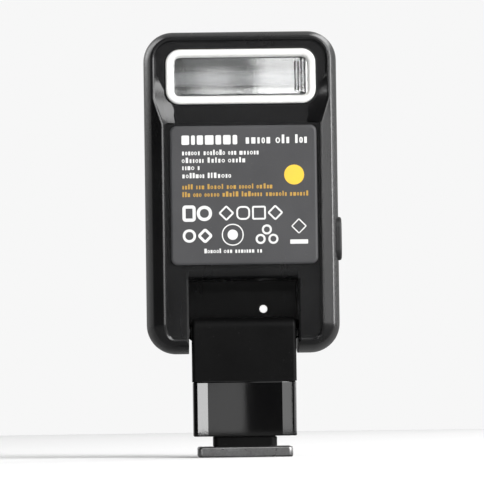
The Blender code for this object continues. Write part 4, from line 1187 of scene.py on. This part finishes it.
def buildLights():  # status bar on the back, and the lamp seen through the pocket
    low, high = nodeBox("status_lens")
    outline = boxOutline("status_lens", "-x", "z", 0.88)
    pairs = [(0.0, low.y), (0.0, high.y - 0.3)] + filletRows(0.0, high.y, 0.3, 4) + [(0.6, high.y)]
    makePiece(turned(moulded(outline, pairs, 8), "back"), "statusLamp", "lampWhite", "head",
              ["status_lens"], 40)
    low, high = nodeBox("indicator_lens")
    at, radius = (low + high) / 2, (high.x - low.x) / 2
    tip = radius - 0.15
    dome = [(tip * sin(a), low.y + 0.3 * (1 - cos(a))) for a in quarterTurn(6)]
    shape = spun(dome + [(tip, high.y - 0.15), (tip - 0.15, high.y), (0, high.y)], 36)
    makePiece(onBack(shape, at), "pocketLamp", "lampLit", "head", ["indicator_lens"], 40)


def buildChargingSocket():
    low, high = nodeBox("usb_shell")
    outline = boxOutline("usb_shell", "-y", "z", 1.55)
    mouth, back = -low.x, -high.x
    pairs = [(0.0, back), (0.0, mouth - 0.12), (0.1, mouth), (0.22, mouth), (0.3, mouth - 0.12), (0.3, back)]
    makePiece(turned(moulded(outline, pairs, 10, True), "left"), "chargeSocket", "screwSteel", "head",
              ["usb_shell"], 40)
    low, high = nodeBox("usb_tongue")
    outline = boxOutline("usb_tongue", "-y", "z", 0.2)
    pairs = [(0.0, -high.x), (0.0, -low.x - 0.15), (0.1, -low.x)]
    makePiece(turned(moulded(outline, pairs, 3), "left"), "chargeTongue", "insertBlack", "head",
              ["usb_tongue"], 40)
    strips = []
    for k in range(-5, 6):
        for face in (high.y, low.y - 0.05):
            z = (low.z + high.z) / 2 + 0.5 * k
            strips.append(block((low.x + 0.4, face, z - 0.14), (low.x + 4.5, face + 0.05, z + 0.14)))
    makePiece(joined(strips), "chargeStrips", "contactGold", "head", (), 40)


buildDial()
buildButtons()
buildSideButton()
buildLights()
buildChargingSocket()
for k in (1, 2, 3, 4):
    crossScrew(f"cover_screw_{k}", f"coverScrew{k}", "back", 1.2, 0.8, 0.55)
print("back made")


# the pieces inside keep their CAD shapes and take a finish
insideFinishes = {
    "footSteel": ["arm_core"],
    "screwSteel": ["friction_clip", "tube_electrode_left", "tube_electrode_right", "hinge_pin_left",
                   "hinge_pin_right", "encoder_shaft"],
    "boardFlat": ["contact_board", "main_board"],
    "insertBlack": ["arm_cable", "head_cable", "dial_encoder", "mode_switch", "side_switch", "test_switch"],
    "amberTape": ["trigger_coil", "charging_transformer"],
    "sleeveBlue": ["main_capacitor"],
    "cellFoil": ["battery"],
}
for finish, names in insideFinishes.items():
    for name in names:
        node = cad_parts[name]
        node.data.materials.clear()
        node.data.materials.append(paint[finish])
print("inside finished")


studio = {
    "backdrop": 0.93, "air": 0.34, "frontGloss": 0.01, "backGloss": 0.30, "middle": (0, 0, 0.05),
    "floorRadius": 0.7, "floorDrop": 0.00003, "nearFloor": 0.001, "floorMirrored": grey(0.22),
    # soft boxes: (degrees right of the front, degrees up, distance, width, height, brightness)
    "boxes": {"keyBox": (47, 23, 0.9, 0.54, 0.72, 8.2), "rimPanel": (80, 5, 0.9, 0.35, 0.60, 2.6),
              "rimBack": (122, 5, 0.9, 0.30, 0.60, 6.5), "leftStrip": (-27, 4, 0.9, 0.07, 0.30, 13.5),
              "rightStrip": (29.2, 4, 0.9, 0.06, 0.30, 3.6), "backBox": (150, 35, 0.9, 0.50, 0.50, 2.0),
              "backStrip": (-150, 25, 0.9, 0.25, 0.60, 1.6)},
    # flat cards behind the camera: (left, right, low, high, distance, brightness)
    "cards": {"sleeveCard": (-0.012, 0.021, -0.03, 0.022, 1.0, 1.6),
              "paneCard": (0.028, 0.056, 0.14, 0.17, 1.0, 11.5),
              "paneWash": (-0.012, 0.028, 0.14, 0.17, 1.0, 1.6),
              "paneSpot": (0.002, 0.0167, 0.143, 0.159, 0.99, 4.0)},
    # over the head: (where, height that it looks at, width, depth, brightness)
    "topBank": ((0.27, -0.55, 0.60), 0.075, 0.50, 0.60, 2.0),
}


def softBox(name, spot, aim, size, glow):
    light = bpy.data.lights.new(name, "AREA")
    light.shape = "RECTANGLE"
    light.size, light.size_y = size
    light.energy = glow * pi * size[0] * size[1]
    lamp = bpy.data.objects.new(name, light)
    lamp.location = Vector(spot)
    lamp.rotation_euler = (Vector(spot) - Vector(aim)).to_track_quat("Z", "Y").to_euler()
    lamp.visible_camera = False
    bpy.context.scene.collection.objects.link(lamp)


def buildLamps():
    aim = Vector(studio["middle"])
    for name, (turn, rise, far, wide, tall, glow) in studio["boxes"].items():
        a, e = radians(turn), radians(rise)
        spot = aim + Vector((sin(a) * cos(e), -cos(a) * cos(e), sin(e))) * far
        softBox(name, spot, aim, (wide, tall), glow)
    for name, (left, right, low, high, far, glow) in studio["cards"].items():
        spot = Vector(((left + right) / 2, -far, (low + high) / 2))
        softBox(name, spot, spot + Vector((0, 1, 0)), (right - left, high - low), glow)
    spot, height, wide, deep, glow = studio["topBank"]
    softBox("topBank", spot, (spot[0], 0, height), (wide, deep), glow)


def floorPaper():
    material, tree, shader, place = newMaterial("floorPaper")
    pale = mixColour(tree, noise(tree, place, 6.0, 2.0), grey(0.93), grey(0.95))
    mirrored = addNode(tree, "LightPath", {}, "Is Glossy Ray")
    setInputs(tree, shader, {"Base Color": mixColour(tree, mirrored, pale, studio["floorMirrored"]),
                             "Roughness": 0.9, "Specular IOR Level": 0.1})
    # clear from below and right under the foot, so that the underside can be seen
    length = addNode(tree, "LightPath", {}, "Ray Length")
    near = addNode(tree, "Math", {0: length, 1: studio["nearFloor"]}, operation="LESS_THAN")
    below = addNode(tree, "NewGeometry", {}, "Backfacing")
    opened = addNode(tree, "Math", {0: near, 1: below}, operation="MAXIMUM")
    nothing = addNode(tree, "BsdfTransparent", {})
    seen = addNode(tree, "MixShader", {0: opened, 1: shader.outputs["BSDF"], 2: nothing})
    tree.links.new(seen, tree.nodes["Material Output"].inputs["Surface"])
    return material


def buildFloor():
    floor = bmesh.new()
    bmesh.ops.create_circle(floor, cap_ends=True, segments=96, radius=studio["floorRadius"])
    bmesh.ops.translate(floor, vec=(0, 0, -studio["floorDrop"]), verts=floor.verts)
    mesh = bpy.data.meshes.new("paperFloor")
    floor.to_mesh(mesh)
    floor.free()
    mesh.materials.append(floorPaper())
    paper = bpy.data.objects.new("paperFloor", mesh)
    bpy.context.scene.collection.objects.link(paper)


def buildAir():
    # pale air for what is seen and for soft fill, a dark room in front for the gloss
    world = bpy.data.worlds.new("studioAir")
    world.use_nodes = True
    tree = world.node_tree
    heading = addNode(tree, "TexCoord", {}, "Generated")
    behind = addNode(tree, "SeparateXYZ", {"Vector": heading}, "Y")
    gloss = remap(tree, behind, 0.1, 0.9, studio["frontGloss"], studio["backGloss"])
    fill = pick(tree, addNode(tree, "LightPath", {}, "Is Glossy Ray"), studio["air"], gloss)
    seen = pick(tree, addNode(tree, "LightPath", {}, "Is Camera Ray"), fill, studio["backdrop"])
    setInputs(tree, tree.nodes["Background"], {"Color": (1.0, 1.0, 1.0, 1.0), "Strength": seen})
    bpy.context.scene.world = world


buildLamps()
buildFloor()
buildAir()
bpy.context.scene.view_settings.view_transform = "Standard"
print("studio made")
